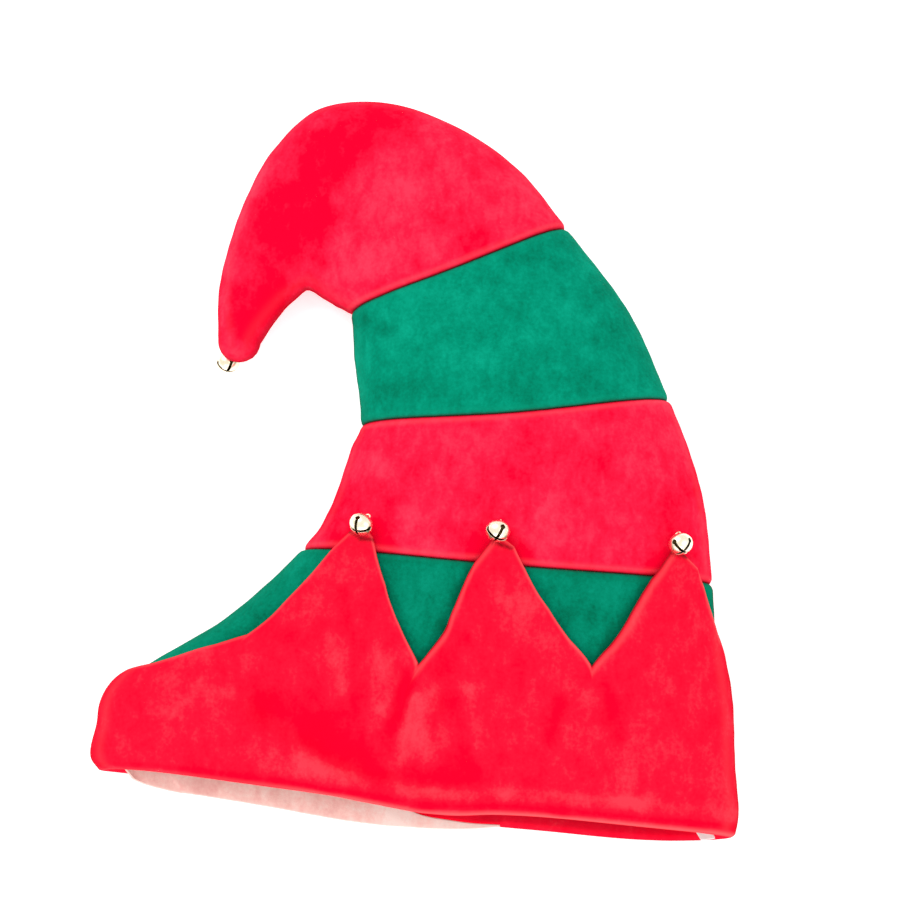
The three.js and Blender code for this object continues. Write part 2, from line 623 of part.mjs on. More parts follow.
function addPanel(panel, side) {
  const cuffAcross = cuffColumns.map((column) => column.across);
  const tip = bandGeometry(panel, evenColumns(tipColumns), tipRows(panel));
  const highBand = bandGeometry(panel, evenColumns(highColumns), highRows(panel));
  const middleBand = bandGeometry(panel, cuffAcross, middleRows(panel), leaning);
  const lowBand = bandGeometry(panel, cuffAcross, lowBandRows(panel), leaning);
  const cuff = thickSheet(cuffColumns.map((column) => cuffColumn(panel, column)), turnSteps);
  addPiece(`tip_${side}`, tip, felt(colours.red));
  addPiece(`high_band_${side}`, highBand, felt(colours.green));
  addPiece(`middle_band_${side}`, middleBand, felt(colours.red));
  addPiece(`low_band_${side}`, lowBand, felt(colours.green));
  addPiece(`cuff_${side}`, cuff, felt(colours.red));
}

// Sets a bell with its slotted end along one direction, turned about that axis
function addBell(name, centre, slotted, turn) {
  const gold = new THREE.MeshStandardMaterial({ color: colours.gold, roughness: 0.25, metalness: 1 });
  const bell = addPiece(name, bellGeometry(), gold);
  const axis = new THREE.Vector3(0, -1, 0);
  const aim = new THREE.Quaternion().setFromUnitVectors(axis, slotted);
  const spin = new THREE.Quaternion().setFromAxisAngle(axis, THREE.MathUtils.degToRad(turn));
  bell.quaternion.copy(aim.multiply(spin));
  bell.position.copy(centre);
}

// A bell lies on each point of the cuff, slotted end out and towards the hem
function addPointBells(panel, side) {
  const lean = THREE.MathUtils.degToRad(bellLean);
  zigzag.filter((corner) => corner.point).forEach((corner, i) => {
    const across = leaning(corner.across, corner.along);
    const { normal, forward } = clothFrame(panel, across, corner.along);
    const rest = pieceGap + pointStand + clothThickness + pieceGap + bellDiameter / 2;
    const centre = layerPoint(panel, across, corner.along, rest);
    if (panel === lower) centre.z = bellDiameter / 2;
    const slotted = normal.multiplyScalar(Math.cos(lean)).addScaledVector(forward, -Math.sin(lean));
    addBell(`point_bell_${side}_${i + 1}`, centre, slotted.normalize(), bellTurns[i]);
  });
}

// The tip's bell lies on the floor, partly under the end of the tip
function addTipBell() {
  const end = sectionAt(1);
  const outwards = end.towardsHem.clone().multiplyScalar(-1);
  const aside = end.half.clone().normalize();
  const place = end.middle.clone().addScaledVector(outwards, -tipBellUnder);
  place.addScaledVector(aside, tipBellAside);
  const centre = new THREE.Vector3(place.x, place.y, bellDiameter / 2);
  addBell("tip_bell", centre, new THREE.Vector3(outwards.x, outwards.y, 0.25).normalize(), bellTurns[1]);
}

addPanel(upper, "upper");
addPanel(lower, "lower");
addPiece("inner_band", liningGeometry(), felt(colours.strip));
addPiece("care_label", labelGeometry(), felt(colours.label));
addPointBells(upper, "upper");
addPointBells(lower, "lower");
addTipBell();

// The origin is the middle of the floor under the hat
hat.updateMatrixWorld(true);
const reach = new THREE.Box3().setFromObject(hat, true);
const centre = reach.getCenter(new THREE.Vector3());
hat.position.set(-centre.x, -centre.y, -reach.min.z);
hat.updateMatrixWorld(true);

export default hat;
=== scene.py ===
"""Elf hat lying on its side: velour bands, a zigzag cuff turned in at the hem, and jingle bells."""

import math

import bpy
import numpy as np
from mathutils import Matrix, Vector


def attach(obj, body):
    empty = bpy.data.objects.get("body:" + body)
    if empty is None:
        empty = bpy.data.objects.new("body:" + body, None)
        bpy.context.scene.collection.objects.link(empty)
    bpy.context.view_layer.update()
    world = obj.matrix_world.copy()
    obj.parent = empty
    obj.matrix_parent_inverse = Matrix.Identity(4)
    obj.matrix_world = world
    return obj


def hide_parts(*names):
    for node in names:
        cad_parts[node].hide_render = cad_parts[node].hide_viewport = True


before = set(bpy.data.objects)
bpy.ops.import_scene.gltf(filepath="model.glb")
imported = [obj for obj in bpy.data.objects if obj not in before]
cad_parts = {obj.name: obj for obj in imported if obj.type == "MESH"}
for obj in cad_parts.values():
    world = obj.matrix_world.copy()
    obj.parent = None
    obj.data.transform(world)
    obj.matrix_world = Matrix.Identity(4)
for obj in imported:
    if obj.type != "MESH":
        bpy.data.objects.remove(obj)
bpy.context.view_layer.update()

# Sizes in metres, unless a line says otherwise
HAT_WIDTH = 0.303
HAT_LENGTH = 0.352
PUFF = 0.050
CLOTH = 0.002
GAP = 0.0003
HEM_TURN_IN = 0.020
POINT_STAND = 0.0008
CAP_LENGTH = 0.009
STRIP = 0.0012
STRIP_DEPTH = 0.026
STRIP_ROLL = 0.008
LABEL_WIDTH = 0.009
LABEL_DEPTH = 0.016
LABEL = 0.0008
LABEL_INSET = -0.0004
BELL = 0.011
BELL_WALL = 0.0006
BELL_SLOT = 0.0014
BELL_HOLE = 0.0012
BELL_SQUAT = 0.84  # a bell's height as a share of its width
BELL_LOOP_WIRE = 0.0011
BELL_LOOP_REACH = 0.0026
TIP_BELL_UNDER = 0.0016
TIP_BELL_ASIDE = 0.0056
BELL_LEAN = math.radians(57)
BELL_TURNS = (20, 65, 40)  # degrees about each bell's own axis
BELL_NESTLES = 0.0003  # how far a bell sinks into the pile
SLOT_END = math.radians(74)  # from the crossing of the slots
PETAL_WELD = 0.00002
BELL_EDGE_ROUND = 0.00012
TIP_BELL_RISE = 0.25  # slope at which the slots of the tip's bell look up

# Sewn edges: rounding, the dip and ridge at a seam, and the small puckers beside it
EDGE_ROUND = 0.0009
SIDE_MARGIN = 0.0004  # a share of the way across
SEAM_DIP = 0.0010
SEAM_DIP_WIDTH = 0.0014
SEAM_RIDGE = 0.00015
PUCKER = 0.00010
PUCKER_PITCH = 0.0093
SIDE_PUCKER_PITCH = 0.011
CUFF_PUCKERS = 570  # radians for each metre
UNEVENNESS = 0.00035

# Where painted shade lies beside a side seam, and the painted highlight line beyond it
SIDE_PAINTED_SHADE_FROM = 0.0068
SIDE_PAINTED_SHADE_TO = 0.0012
SIDE_PAINTED_HIGHLIGHT_AT = 0.0095
SIDE_PAINTED_HIGHLIGHT_WIDTH = 0.0026

# The camera: its angle above the floor, its distance, and a pixel's size at the hat. The part's
# origin shows at this pixel, and the picture's middle is at the other.
CAMERA_TILT = math.radians(79)
CAMERA_DISTANCE = 1.5
PIXEL = 0.00047
ORIGIN_PIXEL = (415, 468.5)
MIDDLE_PIXEL = 450
SENSOR_WIDTH = 36

# Where the tables' zero, the middle of the hem line in plan, lies in the frame
ZERO = np.array([-0.000399, -0.178931])

UPPER = 1
LOWER = -1


def table(names, rows):
    """Rows of numbers with named columns."""
    return np.array(rows, dtype=[(name, float) for name in names.split()])



# Side seams in plan, as shares of the width and the length, and how far the cloth between them
# bows towards the hem, as a share of the width
SEAMS = table("along left_x left_y right_x right_y top_bow base_bow", [
    # along, left x, left y, right x, right y, top bow, base bow
    (0.0, -0.463, 0.101, 0.475, 0.014, 0.003, 0.01),
    (0.02, -0.479, 0.12, 0.482, 0.043, 0.004, 0.009),
    (0.061, -0.472, 0.153, 0.478, 0.101, 0.006, 0.008),
    (0.114, -0.456, 0.202, 0.474, 0.181, 0.009, 0.004),
    (0.16, -0.391, 0.242, 0.462, 0.241, 0.011, 0.002),
    (0.212, -0.281, 0.299, 0.457, 0.281, 0.011, 0),
    (0.279, -0.168, 0.388, 0.453, 0.341, 0.009, 0),
    (0.344, -0.126, 0.444, 0.443, 0.444, 0.013, 0),
    (0.407, -0.095, 0.524, 0.42, 0.524, 0.014, 0),
    (0.45, -0.081, 0.555, 0.392, 0.588, 0.016, 0),
    (0.534, -0.092, 0.645, 0.333, 0.708, 0.013, 0),
    (0.616, -0.099, 0.708, 0.237, 0.824, 0.01, 0),
    (0.66, -0.123, 0.722, 0.166, 0.904, 0.009, 0),
    (0.71, -0.143, 0.733, 0.069, 0.966, 0.008, 0),
    (0.758, -0.157, 0.742, -0.045, 1.002, 0.006, 0),
    (0.797, -0.166, 0.745, -0.15, 0.994, 0.005, 0),
    (0.832, -0.172, 0.743, -0.221, 0.938, 0.004, 0),
    (0.866, -0.182, 0.735, -0.262, 0.873, 0.003, 0),
    (0.903, -0.202, 0.718, -0.288, 0.808, 0.002, 0),
    (0.939, -0.222, 0.692, -0.304, 0.742, 0.001, 0),
    (0.976, -0.237, 0.669, -0.304, 0.671, 0, 0),
])

# How far the hem sags past those bows across each panel, as a share of the width
HEM_LINE = table("across top_sag base_sag", [
    # across, top sag, base sag
    (0.0, 0, 0),
    (0.1, -0.0025, -0.004),
    (0.25, 0, -0.002),
    (0.36, 0.003, 0.003),
    (0.44, 0.009, 0.005),
    (0.5, 0.0135, 0.0055),
    (0.56, 0.0125, 0.0065),
    (0.62, 0.005, 0.008),
    (0.7, 0.001, 0.008),
    (0.85, 0.001, 0.009),
    (1.0, 0, 0),
])
SAG_FADES = 0.11  # along the hat

# Heights as shares of the puff, and how flat each panel is between its turns at the seams
HEIGHTS = table("along fold top base top_roll base_roll", [
    # along, fold, top, base, top roll, base roll
    (0.0, 0.33, 0.64, -0.03, 9, 8),
    (0.061, 0.36, 0.74, 0.01, 7, 7),
    (0.114, 0.39, 0.83, 0.06, 5.5, 6),
    (0.16, 0.42, 0.9, 0.12, 4.5, 5.5),
    (0.212, 0.45, 0.95, 0.17, 4, 5),
    (0.279, 0.47, 0.98, 0.19, 3.5, 5),
    (0.344, 0.47, 1.0, 0.18, 3.5, 5),
    (0.407, 0.42, 1.0, 0.06, 3.2, 5),
    (0.45, 0.38, 0.98, -0.03, 3.2, 6),
    (0.534, 0.35, 0.93, -0.05, 3, 6),
    (0.616, 0.33, 0.87, -0.05, 3, 6),
    (0.66, 0.32, 0.82, -0.05, 3, 5.5),
    (0.758, 0.28, 0.72, -0.05, 2.8, 5),
    (0.832, 0.25, 0.6, -0.05, 2.6, 4),
    (0.903, 0.24, 0.49, -0.01, 2.4, 3),
    (0.939, 0.27, 0.45, 0.08, 2.2, 2.4),
    (0.976, 0.3, 0.43, 0.17, 2.1, 2.1),
])

LOW_SEAM = 0.279
MID_SEAM = 0.45
HIGH_SEAM = 0.616
CAP_START = SEAMS["along"][-1]
COVER_FADES = 0.34

# Places along the cuff's zigzag edge, with the points that carry a bell marked
ZIGZAG = table("across along bell", [
    # across, along, whether a bell sits there
    (0.0, 0.136, 0),
    (0.055, 0.1485, 0),
    (0.075, 0.1565, 0),
    (0.105, 0.169, 0),
    (0.133, 0.179, 0),
    (0.168, 0.188, 0),
    (0.205, 0.229, 0),
    (0.227, 0.252, 0),
    (0.246, 0.278, 0),
    (0.272, 0.300, 0),
    (0.311, 0.308, 1),
    (0.339, 0.295, 0),
    (0.364, 0.273, 0),
    (0.400, 0.247, 0),
    (0.424, 0.223, 0),
    (0.449, 0.193, 0),
    (0.482, 0.156, 0),
    (0.492, 0.173, 0),
    (0.515, 0.203, 0),
    (0.538, 0.233, 0),
    (0.557, 0.264, 0),
    (0.568, 0.278, 0),
    (0.606, 0.312, 1),
    (0.640, 0.298, 0),
    (0.658, 0.278, 0),
    (0.685, 0.247, 0),
    (0.699, 0.231, 0),
    (0.725, 0.192, 0),
    (0.758, 0.154, 0),
    (0.790, 0.183, 0),
    (0.822, 0.218, 0),
    (0.852, 0.256, 0),
    (0.868, 0.274, 0),
    (0.908, 0.307, 1),
    (0.943, 0.290, 0),
    (0.953, 0.271, 0),
    (0.965, 0.236, 0),
    (0.975, 0.205, 0),
    (1.0, 0.155, 0),
])
POINT_LEAN = 0.55  # how much the lines up the hat crowd to the left
POINTS_START = 0.1386
POINTS_END = ZIGZAG["along"].max()

# Folds and dents of the upper panel: strokes in plan as shares of the width and the length, the
# stroke's width as a share of the width and its rise as a share of the puff
FOLDS = table("from_x from_y to_x to_y width rise", [
    # from x, from y, to x, to y, width, rise
    (-0.283, 0.245, -0.223, 0.184, 0.025, -0.04),
    (-0.223, 0.184, -0.140, 0.140, 0.028, -0.045),
    (-0.140, 0.140, -0.090, 0.107, 0.028, -0.05),
    (-0.090, 0.107, 0.056, 0.077, 0.025, -0.045),
    (-0.331, 0.197, -0.241, 0.147, 0.022, 0.03),
    (-0.241, 0.147, -0.122, 0.090, 0.022, 0.035),
    (-0.122, 0.090, 0.012, 0.058, 0.019, 0.03),
    (0.012, 0.055, 0.220, 0.050, 0.016, 0.025),
    (0.220, 0.050, 0.428, 0.036, 0.014, 0.02),
    (-0.167, 0.295, -0.122, 0.183, 0.019, 0.02),
    (-0.100, 0.330, -0.070, 0.208, 0.014, -0.02),
    (-0.051, 0.258, -0.030, 0.159, 0.016, 0.025),
    (-0.009, 0.218, -0.023, 0.165, 0.014, -0.028),
    (-0.023, 0.165, -0.030, 0.103, 0.016, -0.028),
    (0.018, 0.218, 0.012, 0.121, 0.016, 0.03),
    (0.059, 0.271, 0.047, 0.183, 0.015, -0.025),
    (0.047, 0.183, 0.074, 0.090, 0.016, -0.025),
    (0.101, 0.258, 0.098, 0.108, 0.016, 0.02),
    (0.190, 0.296, 0.202, 0.196, 0.019, 0.015),
    (0.257, 0.214, 0.220, 0.140, 0.016, -0.022),
    (0.279, 0.208, 0.306, 0.140, 0.015, -0.022),
    (0.279, 0.159, 0.257, 0.070, 0.016, 0.02),
    (0.339, 0.259, 0.413, 0.109, 0.025, 0.02),
    (-0.057, 0.504, 0.019, 0.388, 0.014, 0.012),
    (-0.111, 0.478, -0.091, 0.431, 0.016, -0.02),
    (0.056, 0.466, 0.161, 0.401, 0.022, -0.012),
    (0.222, 0.556, 0.343, 0.549, 0.011, -0.012),
    (0.237, 0.532, 0.358, 0.516, 0.011, 0.01),
    (0.342, 0.481, 0.418, 0.406, 0.019, 0.012),
    (-0.093, 0.699, -0.038, 0.672, 0.012, -0.05),
    (-0.088, 0.675, -0.020, 0.646, 0.012, 0.02),
    (-0.020, 0.711, 0.087, 0.640, 0.031, 0.012),
    (-0.045, 0.975, -0.106, 0.880, 0.025, -0.03),
    (-0.106, 0.880, -0.141, 0.772, 0.025, -0.035),
    (-0.175, 0.773, -0.234, 0.701, 0.019, -0.02),
    (-0.237, 0.907, -0.282, 0.795, 0.019, 0.02),
    (-0.282, 0.795, -0.289, 0.684, 0.012, 0.02),
    (-0.082, 0.727, -0.129, 0.747, 0.016, 0.02),
    (0.010, 0.876, -0.020, 0.765, 0.031, 0.01),
])

# Pile tone and painted light: strokes as above, over 0 paler, partly as painted highlight on folds and
# ridges that face the light, under 0 deeper, partly as painted shade in troughs and creases
PILE_AND_PAINTED_LIGHT_STROKES = table("from_x from_y to_x to_y width rise", [
    # from x, from y, to x, to y, width, shade
    (-0.029, 0.976, -0.129, 0.922, 0.040, -0.9),
    (-0.129, 0.922, -0.191, 0.834, 0.047, -1.0),
    (-0.191, 0.834, -0.234, 0.737, 0.043, -1.0),
    (-0.234, 0.737, -0.267, 0.677, 0.028, -0.7),
    (-0.147, 0.853, -0.144, 0.768, 0.022, -0.5),
    (-0.231, 0.917, -0.270, 0.848, 0.012, 0.6),
    (-0.270, 0.848, -0.295, 0.770, 0.011, 0.7),
    (-0.294, 0.739, -0.296, 0.698, 0.009, 0.6),
    (-0.021, 0.891, -0.082, 0.795, 0.047, 0.35),
    (0.041, 0.920, 0.164, 0.851, 0.047, 0.25),
    (-0.097, 0.767, 0.010, 0.778, 0.034, 0.3),
    (0.041, 0.826, 0.087, 0.798, 0.025, -0.35),
    (-0.037, 0.967, 0.041, 0.936, 0.019, -0.3),
    (0.087, 0.891, 0.134, 0.904, 0.022, -0.15),
    (-0.125, 0.433, -0.091, 0.445, 0.025, -0.8),
    (-0.041, 0.415, -0.026, 0.441, 0.016, -0.6),
    (-0.061, 0.470, -0.041, 0.435, 0.012, -0.4),
    (-0.057, 0.504, 0.026, 0.382, 0.012, 0.45),
    (0.086, 0.440, 0.094, 0.388, 0.019, -0.35),
    (0.131, 0.466, 0.221, 0.440, 0.040, -0.25),
    (0.222, 0.532, 0.373, 0.483, 0.028, 0.2),
    (0.192, 0.539, 0.222, 0.529, 0.019, -0.25),
    (0.282, 0.499, 0.402, 0.418, 0.022, -0.2),
    (0.011, 0.520, 0.131, 0.519, 0.031, 0.3),
    (0.344, 0.577, 0.375, 0.545, 0.012, -0.2),
    (-0.348, 0.253, -0.256, 0.228, 0.022, 0.35),
    (-0.423, 0.200, -0.390, 0.134, 0.028, -0.15),
    (-0.421, 0.104, -0.166, 0.077, 0.011, -0.35),
    (-0.263, 0.234, -0.223, 0.184, 0.022, -0.8),
    (-0.223, 0.184, -0.140, 0.140, 0.028, -0.9),
    (-0.140, 0.140, -0.078, 0.107, 0.028, -0.9),
    (-0.048, 0.090, 0.086, 0.090, 0.019, -1.0),
    (0.059, 0.183, 0.086, 0.096, 0.014, -0.7),
    (-0.070, 0.196, -0.078, 0.122, 0.016, -0.6),
    (-0.100, 0.323, -0.092, 0.258, 0.012, -0.5),
    (0.027, 0.285, 0.086, 0.258, 0.011, -0.45),
    (-0.009, 0.218, -0.021, 0.165, 0.009, -0.9),
    (0.041, 0.246, 0.053, 0.183, 0.012, -0.7),
    (-0.225, 0.294, -0.166, 0.259, 0.019, -0.35),
    (-0.278, 0.153, -0.167, 0.102, 0.019, 0.3),
    (-0.241, 0.184, -0.278, 0.196, 0.012, 0.25),
    (-0.122, 0.259, -0.092, 0.183, 0.016, 0.35),
    (-0.051, 0.258, -0.040, 0.158, 0.014, 0.35),
    (0.0, 0.183, 0.019, 0.102, 0.012, 0.6),
    (-0.018, 0.071, 0.101, 0.058, 0.009, 0.5),
    (0.131, 0.058, 0.338, 0.051, 0.011, 0.35),
    (0.086, 0.196, 0.101, 0.108, 0.012, 0.45),
    (0.160, 0.309, 0.220, 0.208, 0.028, 0.4),
    (0.240, 0.196, 0.309, 0.070, 0.030, 0.3),
    (0.220, 0.183, 0.202, 0.133, 0.012, -1.0),
    (0.285, 0.203, 0.309, 0.140, 0.012, -1.0),
    (0.264, 0.218, 0.242, 0.196, 0.009, -0.4),
    (0.101, 0.354, 0.131, 0.309, 0.016, 0.3),
    (0.339, 0.310, 0.414, 0.185, 0.034, 0.15),
    (0.354, 0.133, 0.459, 0.059, 0.031, 0.1),
    (0.160, 0.158, 0.190, 0.070, 0.019, -0.15),
    (-0.093, 0.696, -0.043, 0.673, 0.014, -0.9),
    (-0.088, 0.719, -0.083, 0.595, 0.006, 0.5),
    (0.011, 0.709, 0.193, 0.667, 0.047, 0.25),
    (-0.050, 0.592, 0.283, 0.594, 0.022, -0.25),
    (0.225, 0.797, 0.346, 0.620, 0.022, -0.15),
    (0.056, 0.749, 0.210, 0.795, 0.016, -0.1),
    (0.007, 0.184, -0.024, 0.099, 0.020, 0.95),
    (-0.047, 0.228, -0.071, 0.163, 0.019, 0.55),
    (-0.104, 0.252, -0.107, 0.196, 0.014, 0.45),
    (-0.256, 0.224, -0.134, 0.099, 0.023, 0.50),
    (-0.173, 0.113, -0.067, 0.079, 0.012, 0.45),
    (-0.003, 0.203, -0.031, 0.153, 0.011, -1.00),
    (-0.031, 0.153, -0.034, 0.115, 0.011, -0.80),
    (-0.089, 0.233, -0.089, 0.158, 0.011, -0.50),
    (-0.050, 0.500, 0.380, 0.450, 0.090, 0.14),
])

# Painted shadow of the cuff's points on the bands beside them: strokes as above
PAINTED_SHADOW_STROKES = table("from_x from_y to_x to_y width rise", [
    # from x, from y, to x, to y, width, shade
    (-0.091, 0.402, -0.118, 0.388, 0.013, -1.10),
    (-0.060, 0.406, -0.040, 0.385, 0.018, -1.10),
    (0.117, 0.390, 0.092, 0.368, 0.018, -1.40),
    (0.147, 0.392, 0.172, 0.364, 0.014, -1.20),
    (0.390, 0.376, 0.362, 0.352, 0.019, -1.40),
    (0.423, 0.377, 0.433, 0.361, 0.007, -0.50),
    (0.092, 0.358, 0.012, 0.228, 0.009, -0.90),
    (-0.048, 0.362, 0.006, 0.233, 0.007, -0.50),
    (0.357, 0.342, 0.270, 0.229, 0.010, -0.90),
    (0.169, 0.350, 0.264, 0.229, 0.007, -0.40),
    (-0.048, 0.364, 0.092, 0.356, 0.007, -0.50),
    (0.169, 0.349, 0.357, 0.339, 0.007, -0.50),
])

# Painted shadow lines on the points' cloth where the bells sit on it
BELL_SHADOW_LINES = table("from_x from_y to_x to_y width rise", [
    # from x, from y, to x, to y, width, shade
    (-0.098, 0.403, -0.077, 0.391, 0.0026, 1.00),
    (-0.077, 0.391, -0.059, 0.389, 0.0026, 1.00),
    (0.113, 0.389, 0.131, 0.381, 0.0026, 1.00),
    (0.131, 0.381, 0.147, 0.376, 0.0026, 1.00),
    (0.387, 0.374, 0.408, 0.370, 0.0034, 1.00),
    (0.408, 0.370, 0.422, 0.370, 0.0026, 1.00),
])

# How the pale strip's outer edge runs, where a roll of 1 is rolled out over the hem by the whole
# roll, and how much of its width is left where it narrows to a tail
STRIP_EDGE = table("across roll whole", [
    # across, roll, whole
    (0.034, 0.85, 1),
    (0.08, 0.98, 1),
    (0.16, 0.92, 1),
    (0.3, 0.87, 1),
    (0.42, 0.84, 0.7),
    (0.49, 0.72, 0.24),
    (0.56, 0.5, 0.12),
    (0.63, 0.05, 0.04),
])
LABEL_ACROSS = 0.962
LABEL_SLANT = 0.9  # how far it runs aside for each metre inwards


def through(table, place, column):
    """Smooth curve through a column of a table."""
    places = table[place]
    values = table[column]
    before = np.r_[0, np.arange(len(table) - 1)]
    after = np.r_[np.arange(1, len(table)), len(table) - 1]
    slopes = (values[after] - values[before]) / (places[after] - places[before])

    def at(wanted):
        wanted = np.asarray(wanted, float)
        i = np.clip(np.searchsorted(places, wanted, side="left") - 1, 0, len(table) - 2)
        span = places[i + 1] - places[i]
        t = np.clip((wanted - places[i]) / span, 0, 1)
        rest = 1 - t
        start = values[i] * (1 + 2 * t) * rest * rest
        end = values[i + 1] * (3 - 2 * t) * t * t
        return start + end + span * t * rest * (slopes[i] * rest - slopes[i + 1] * t)

    return at


SEAM_CURVES = {name: through(SEAMS, "along", name) for name in SEAMS.dtype.names}
HEIGHT_CURVES = {name: through(HEIGHTS, "along", name) for name in HEIGHTS.dtype.names}
TOP_SAG = through(HEM_LINE, "across", "top_sag")
BASE_SAG = through(HEM_LINE, "across", "base_sag")


def fade(start, end, at):
    """Smooth rise from 0 to 1 between two places."""
    t = np.clip((at - start) / (end - start), 0, 1)
    return t * t * (3 - 2 * t)


def bump(distance, width):
    """Bell curve of height 1."""
    return np.exp(-(distance / width) ** 2)


def leaning(column, along):
    """Share of the way across that a line up the cuff has reached at a place along the hat."""
    return column ** (1 + POINT_LEAN * fade(POINTS_START, POINTS_END, along))


def section(along):
    """Middle, half width and heights of the hat's section, all as arrays."""
    at = np.minimum(along, CAP_START)
    curve = {name: of(at) for name, of in SEAM_CURVES.items()}
    height = {name: of(at) for name, of in HEIGHT_CURVES.items()}
    left = np.stack([curve["left_x"] * HAT_WIDTH, curve["left_y"] * HAT_LENGTH], -1)
    right = np.stack([curve["right_x"] * HAT_WIDTH, curve["right_y"] * HAT_LENGTH], -1)
    middle = (left + right) / 2
    half = (right - left) / 2
    to_hem = np.stack([half[..., 1], -half[..., 0]], -1)
    to_hem /= np.linalg.norm(to_hem, axis=-1, keepdims=True)
    cover = (CLOTH + GAP) * (1 - fade(LOW_SEAM, COVER_FADES, along))
    fold = height["fold"] * PUFF
    top = height["top"] * PUFF
    base = height["base"] * PUFF + cover
    angle = np.maximum(along - CAP_START, 0) / (1 - CAP_START) * math.acos(0.15)
    middle = middle - to_hem * (np.sin(angle) * CAP_LENGTH)[..., None]
    half = half * np.cos(angle)[..., None]
    return {
        "middle": middle,
        "half": half,
        "to_hem": to_hem,
        "cover": cover,
        "fold": fold,
        "top": fold + (top - fold) * np.cos(angle),
        "base": fold + (base - fold) * np.cos(angle),
        "top_roll": height["top_roll"],
        "base_roll": height["base_roll"],
        "top_bow": curve["top_bow"] * HAT_WIDTH,
        "base_bow": curve["base_bow"] * HAT_WIDTH,
    }


WALK = np.linspace(0, math.pi, 97)


def profile(cut, panel, across):
    """Share of the way across, -1 to 1, and share of the height, at an even share of the cloth."""
    half = np.linalg.norm(cut["half"], axis=-1)
    reach = cut["top"] - cut["fold"] if panel == UPPER else cut["fold"] - cut["base"]
    roll = cut["top_roll"] if panel == UPPER else cut["base_roll"]
    levels = np.sqrt(np.maximum(1 - np.abs(np.cos(WALK)) ** roll[..., None], 0))
    sideways = -np.diff(np.cos(WALK)) * half[..., None]
    upwards = np.diff(levels, axis=-1) * reach[..., None]
    walked = np.cumsum(np.hypot(sideways, upwards), axis=-1)
    walked = np.concatenate([np.zeros_like(walked[..., :1]), walked], -1)
    wanted = across * walked[..., -1]
    k = np.clip((walked < wanted[..., None]).sum(-1), 1, len(WALK) - 1)
    near = np.take_along_axis(walked, k[..., None] - 1, -1)[..., 0]
    far = np.take_along_axis(walked, k[..., None], -1)[..., 0]
    angle = WALK[1] * (k - 1 + (wanted - near) / (far - near))
    angle = np.clip(angle, 0, math.pi)
    return -np.cos(angle), np.sqrt(np.maximum(1 - np.abs(np.cos(angle)) ** roll, 0))


def strokes(table, plan):
    """Sum of a table's strokes at places in plan."""
    total = np.zeros(plan.shape[:-1])
    for row in table:
        start = np.array([row["from_x"] * HAT_WIDTH, row["from_y"] * HAT_LENGTH])
        stroke = np.array([row["to_x"] * HAT_WIDTH, row["to_y"] * HAT_LENGTH]) - start
        offset = plan - start
        share = np.clip(offset @ stroke / (stroke @ stroke), 0, 1)
        distance = np.linalg.norm(offset - share[..., None] * stroke, axis=-1)
        total += row["rise"] * bump(distance, row["width"] * HAT_WIDTH)
    return total


WAVES = np.random.default_rng(7)
WAVE_TABLE = [
    (length, WAVES.uniform(0, 2 * math.pi), WAVES.uniform(0, 2 * math.pi))
    for length in (0.085, 0.064, 0.051, 0.043, 0.036, 0.030, 0.026, 0.022)
    for _ in range(2)
]


def undulation(plan):
    """Soft unevenness of laid cloth, about -1 to 1."""
    total = np.zeros(plan.shape[:-1])
    for length, heading, phase in WAVE_TABLE:
        along = plan[..., 0] * math.cos(heading) + plan[..., 1] * math.sin(heading)
        total += np.sin(2 * math.pi * along / length + phase) * length
    return total / 0.25


def plain(panel, across, along):
    """Outer face of the body's cloth before folds and bells shape it."""
    cut = section(along)
    sideways, level = profile(cut, panel, across)
    bow = (cut["top_bow"] if panel == UPPER else cut["base_bow"]) * (1 - sideways ** 2)
    sag = (TOP_SAG if panel == UPPER else BASE_SAG)(across) * HAT_WIDTH
    bow = bow + sag * (1 - fade(0, SAG_FADES, along))
    place = cut["middle"] + cut["half"] * sideways[..., None] + cut["to_hem"] * bow[..., None]
    reach = cut["top"] if panel == UPPER else cut["base"]
    z = cut["fold"] + (reach - cut["fold"]) * level
    return place, z, level, cut["cover"]


def corners():
    """Places of the cuff's points, which carry the bells."""
    rows = ZIGZAG[ZIGZAG["bell"] > 0]
    return leaning(rows["across"], rows["along"]), rows["along"]


SEAT = BELL + 2 * GAP + CLOTH + POINT_STAND + GAP
push_plan, push_z, push_level, _ = plain(LOWER, *corners())
PUSHES = np.maximum(SEAT - push_z, 0) / push_level


def cloth(panel, across, along):
    """Outer face of the body's cloth, in the tables' frame."""
    place, z, level, floor = plain(panel, across, along)
    if panel == UPPER:
        z = z + (strokes(FOLDS, place) * PUFF + undulation(place) * UNEVENNESS) * level
    else:
        for middle, push in zip(push_plan, PUSHES):
            z = z + push * level * bump(np.linalg.norm(place - middle, axis=-1), 2 * BELL)
        z = np.maximum(z, floor)
    return np.concatenate([place, z[..., None]], -1)


PROBE = 0.0015  # how far apart the places are that a direction is taken from


def unit(vectors):
    """The same directions at length 1."""
    return vectors / np.linalg.norm(vectors, axis=-1, keepdims=True)


def cloth_frame(panel, across, along):
    """Points, outward normals, forward directions and length per share along."""
    left = np.maximum(across - PROBE, 0)
    right = np.minimum(across + PROBE, 1)
    before = np.maximum(along - PROBE, 0)
    after = np.minimum(along + PROBE, 1)
    rightwards = unit(cloth(panel, right, along) - cloth(panel, left, along))
    step = cloth(panel, across, after) - cloth(panel, across, before)
    reach = np.linalg.norm(step, axis=-1) / (after - before)
    forward = unit(step)
    normal = unit(np.cross(rightwards, forward)) * panel
    return cloth(panel, across, along), normal, forward, reach


def inset(across):
    """Keeps the panels a little off the side seams."""
    return np.clip(across, SIDE_MARGIN, 1 - SIDE_MARGIN)


MIDDLE = section(np.linspace(0, CAP_START, 60))["middle"]
MIDDLE_LENGTH = np.linalg.norm(np.diff(MIDDLE, axis=0), axis=-1).sum() / CAP_START
WIDEST = 2 * HAT_WIDTH


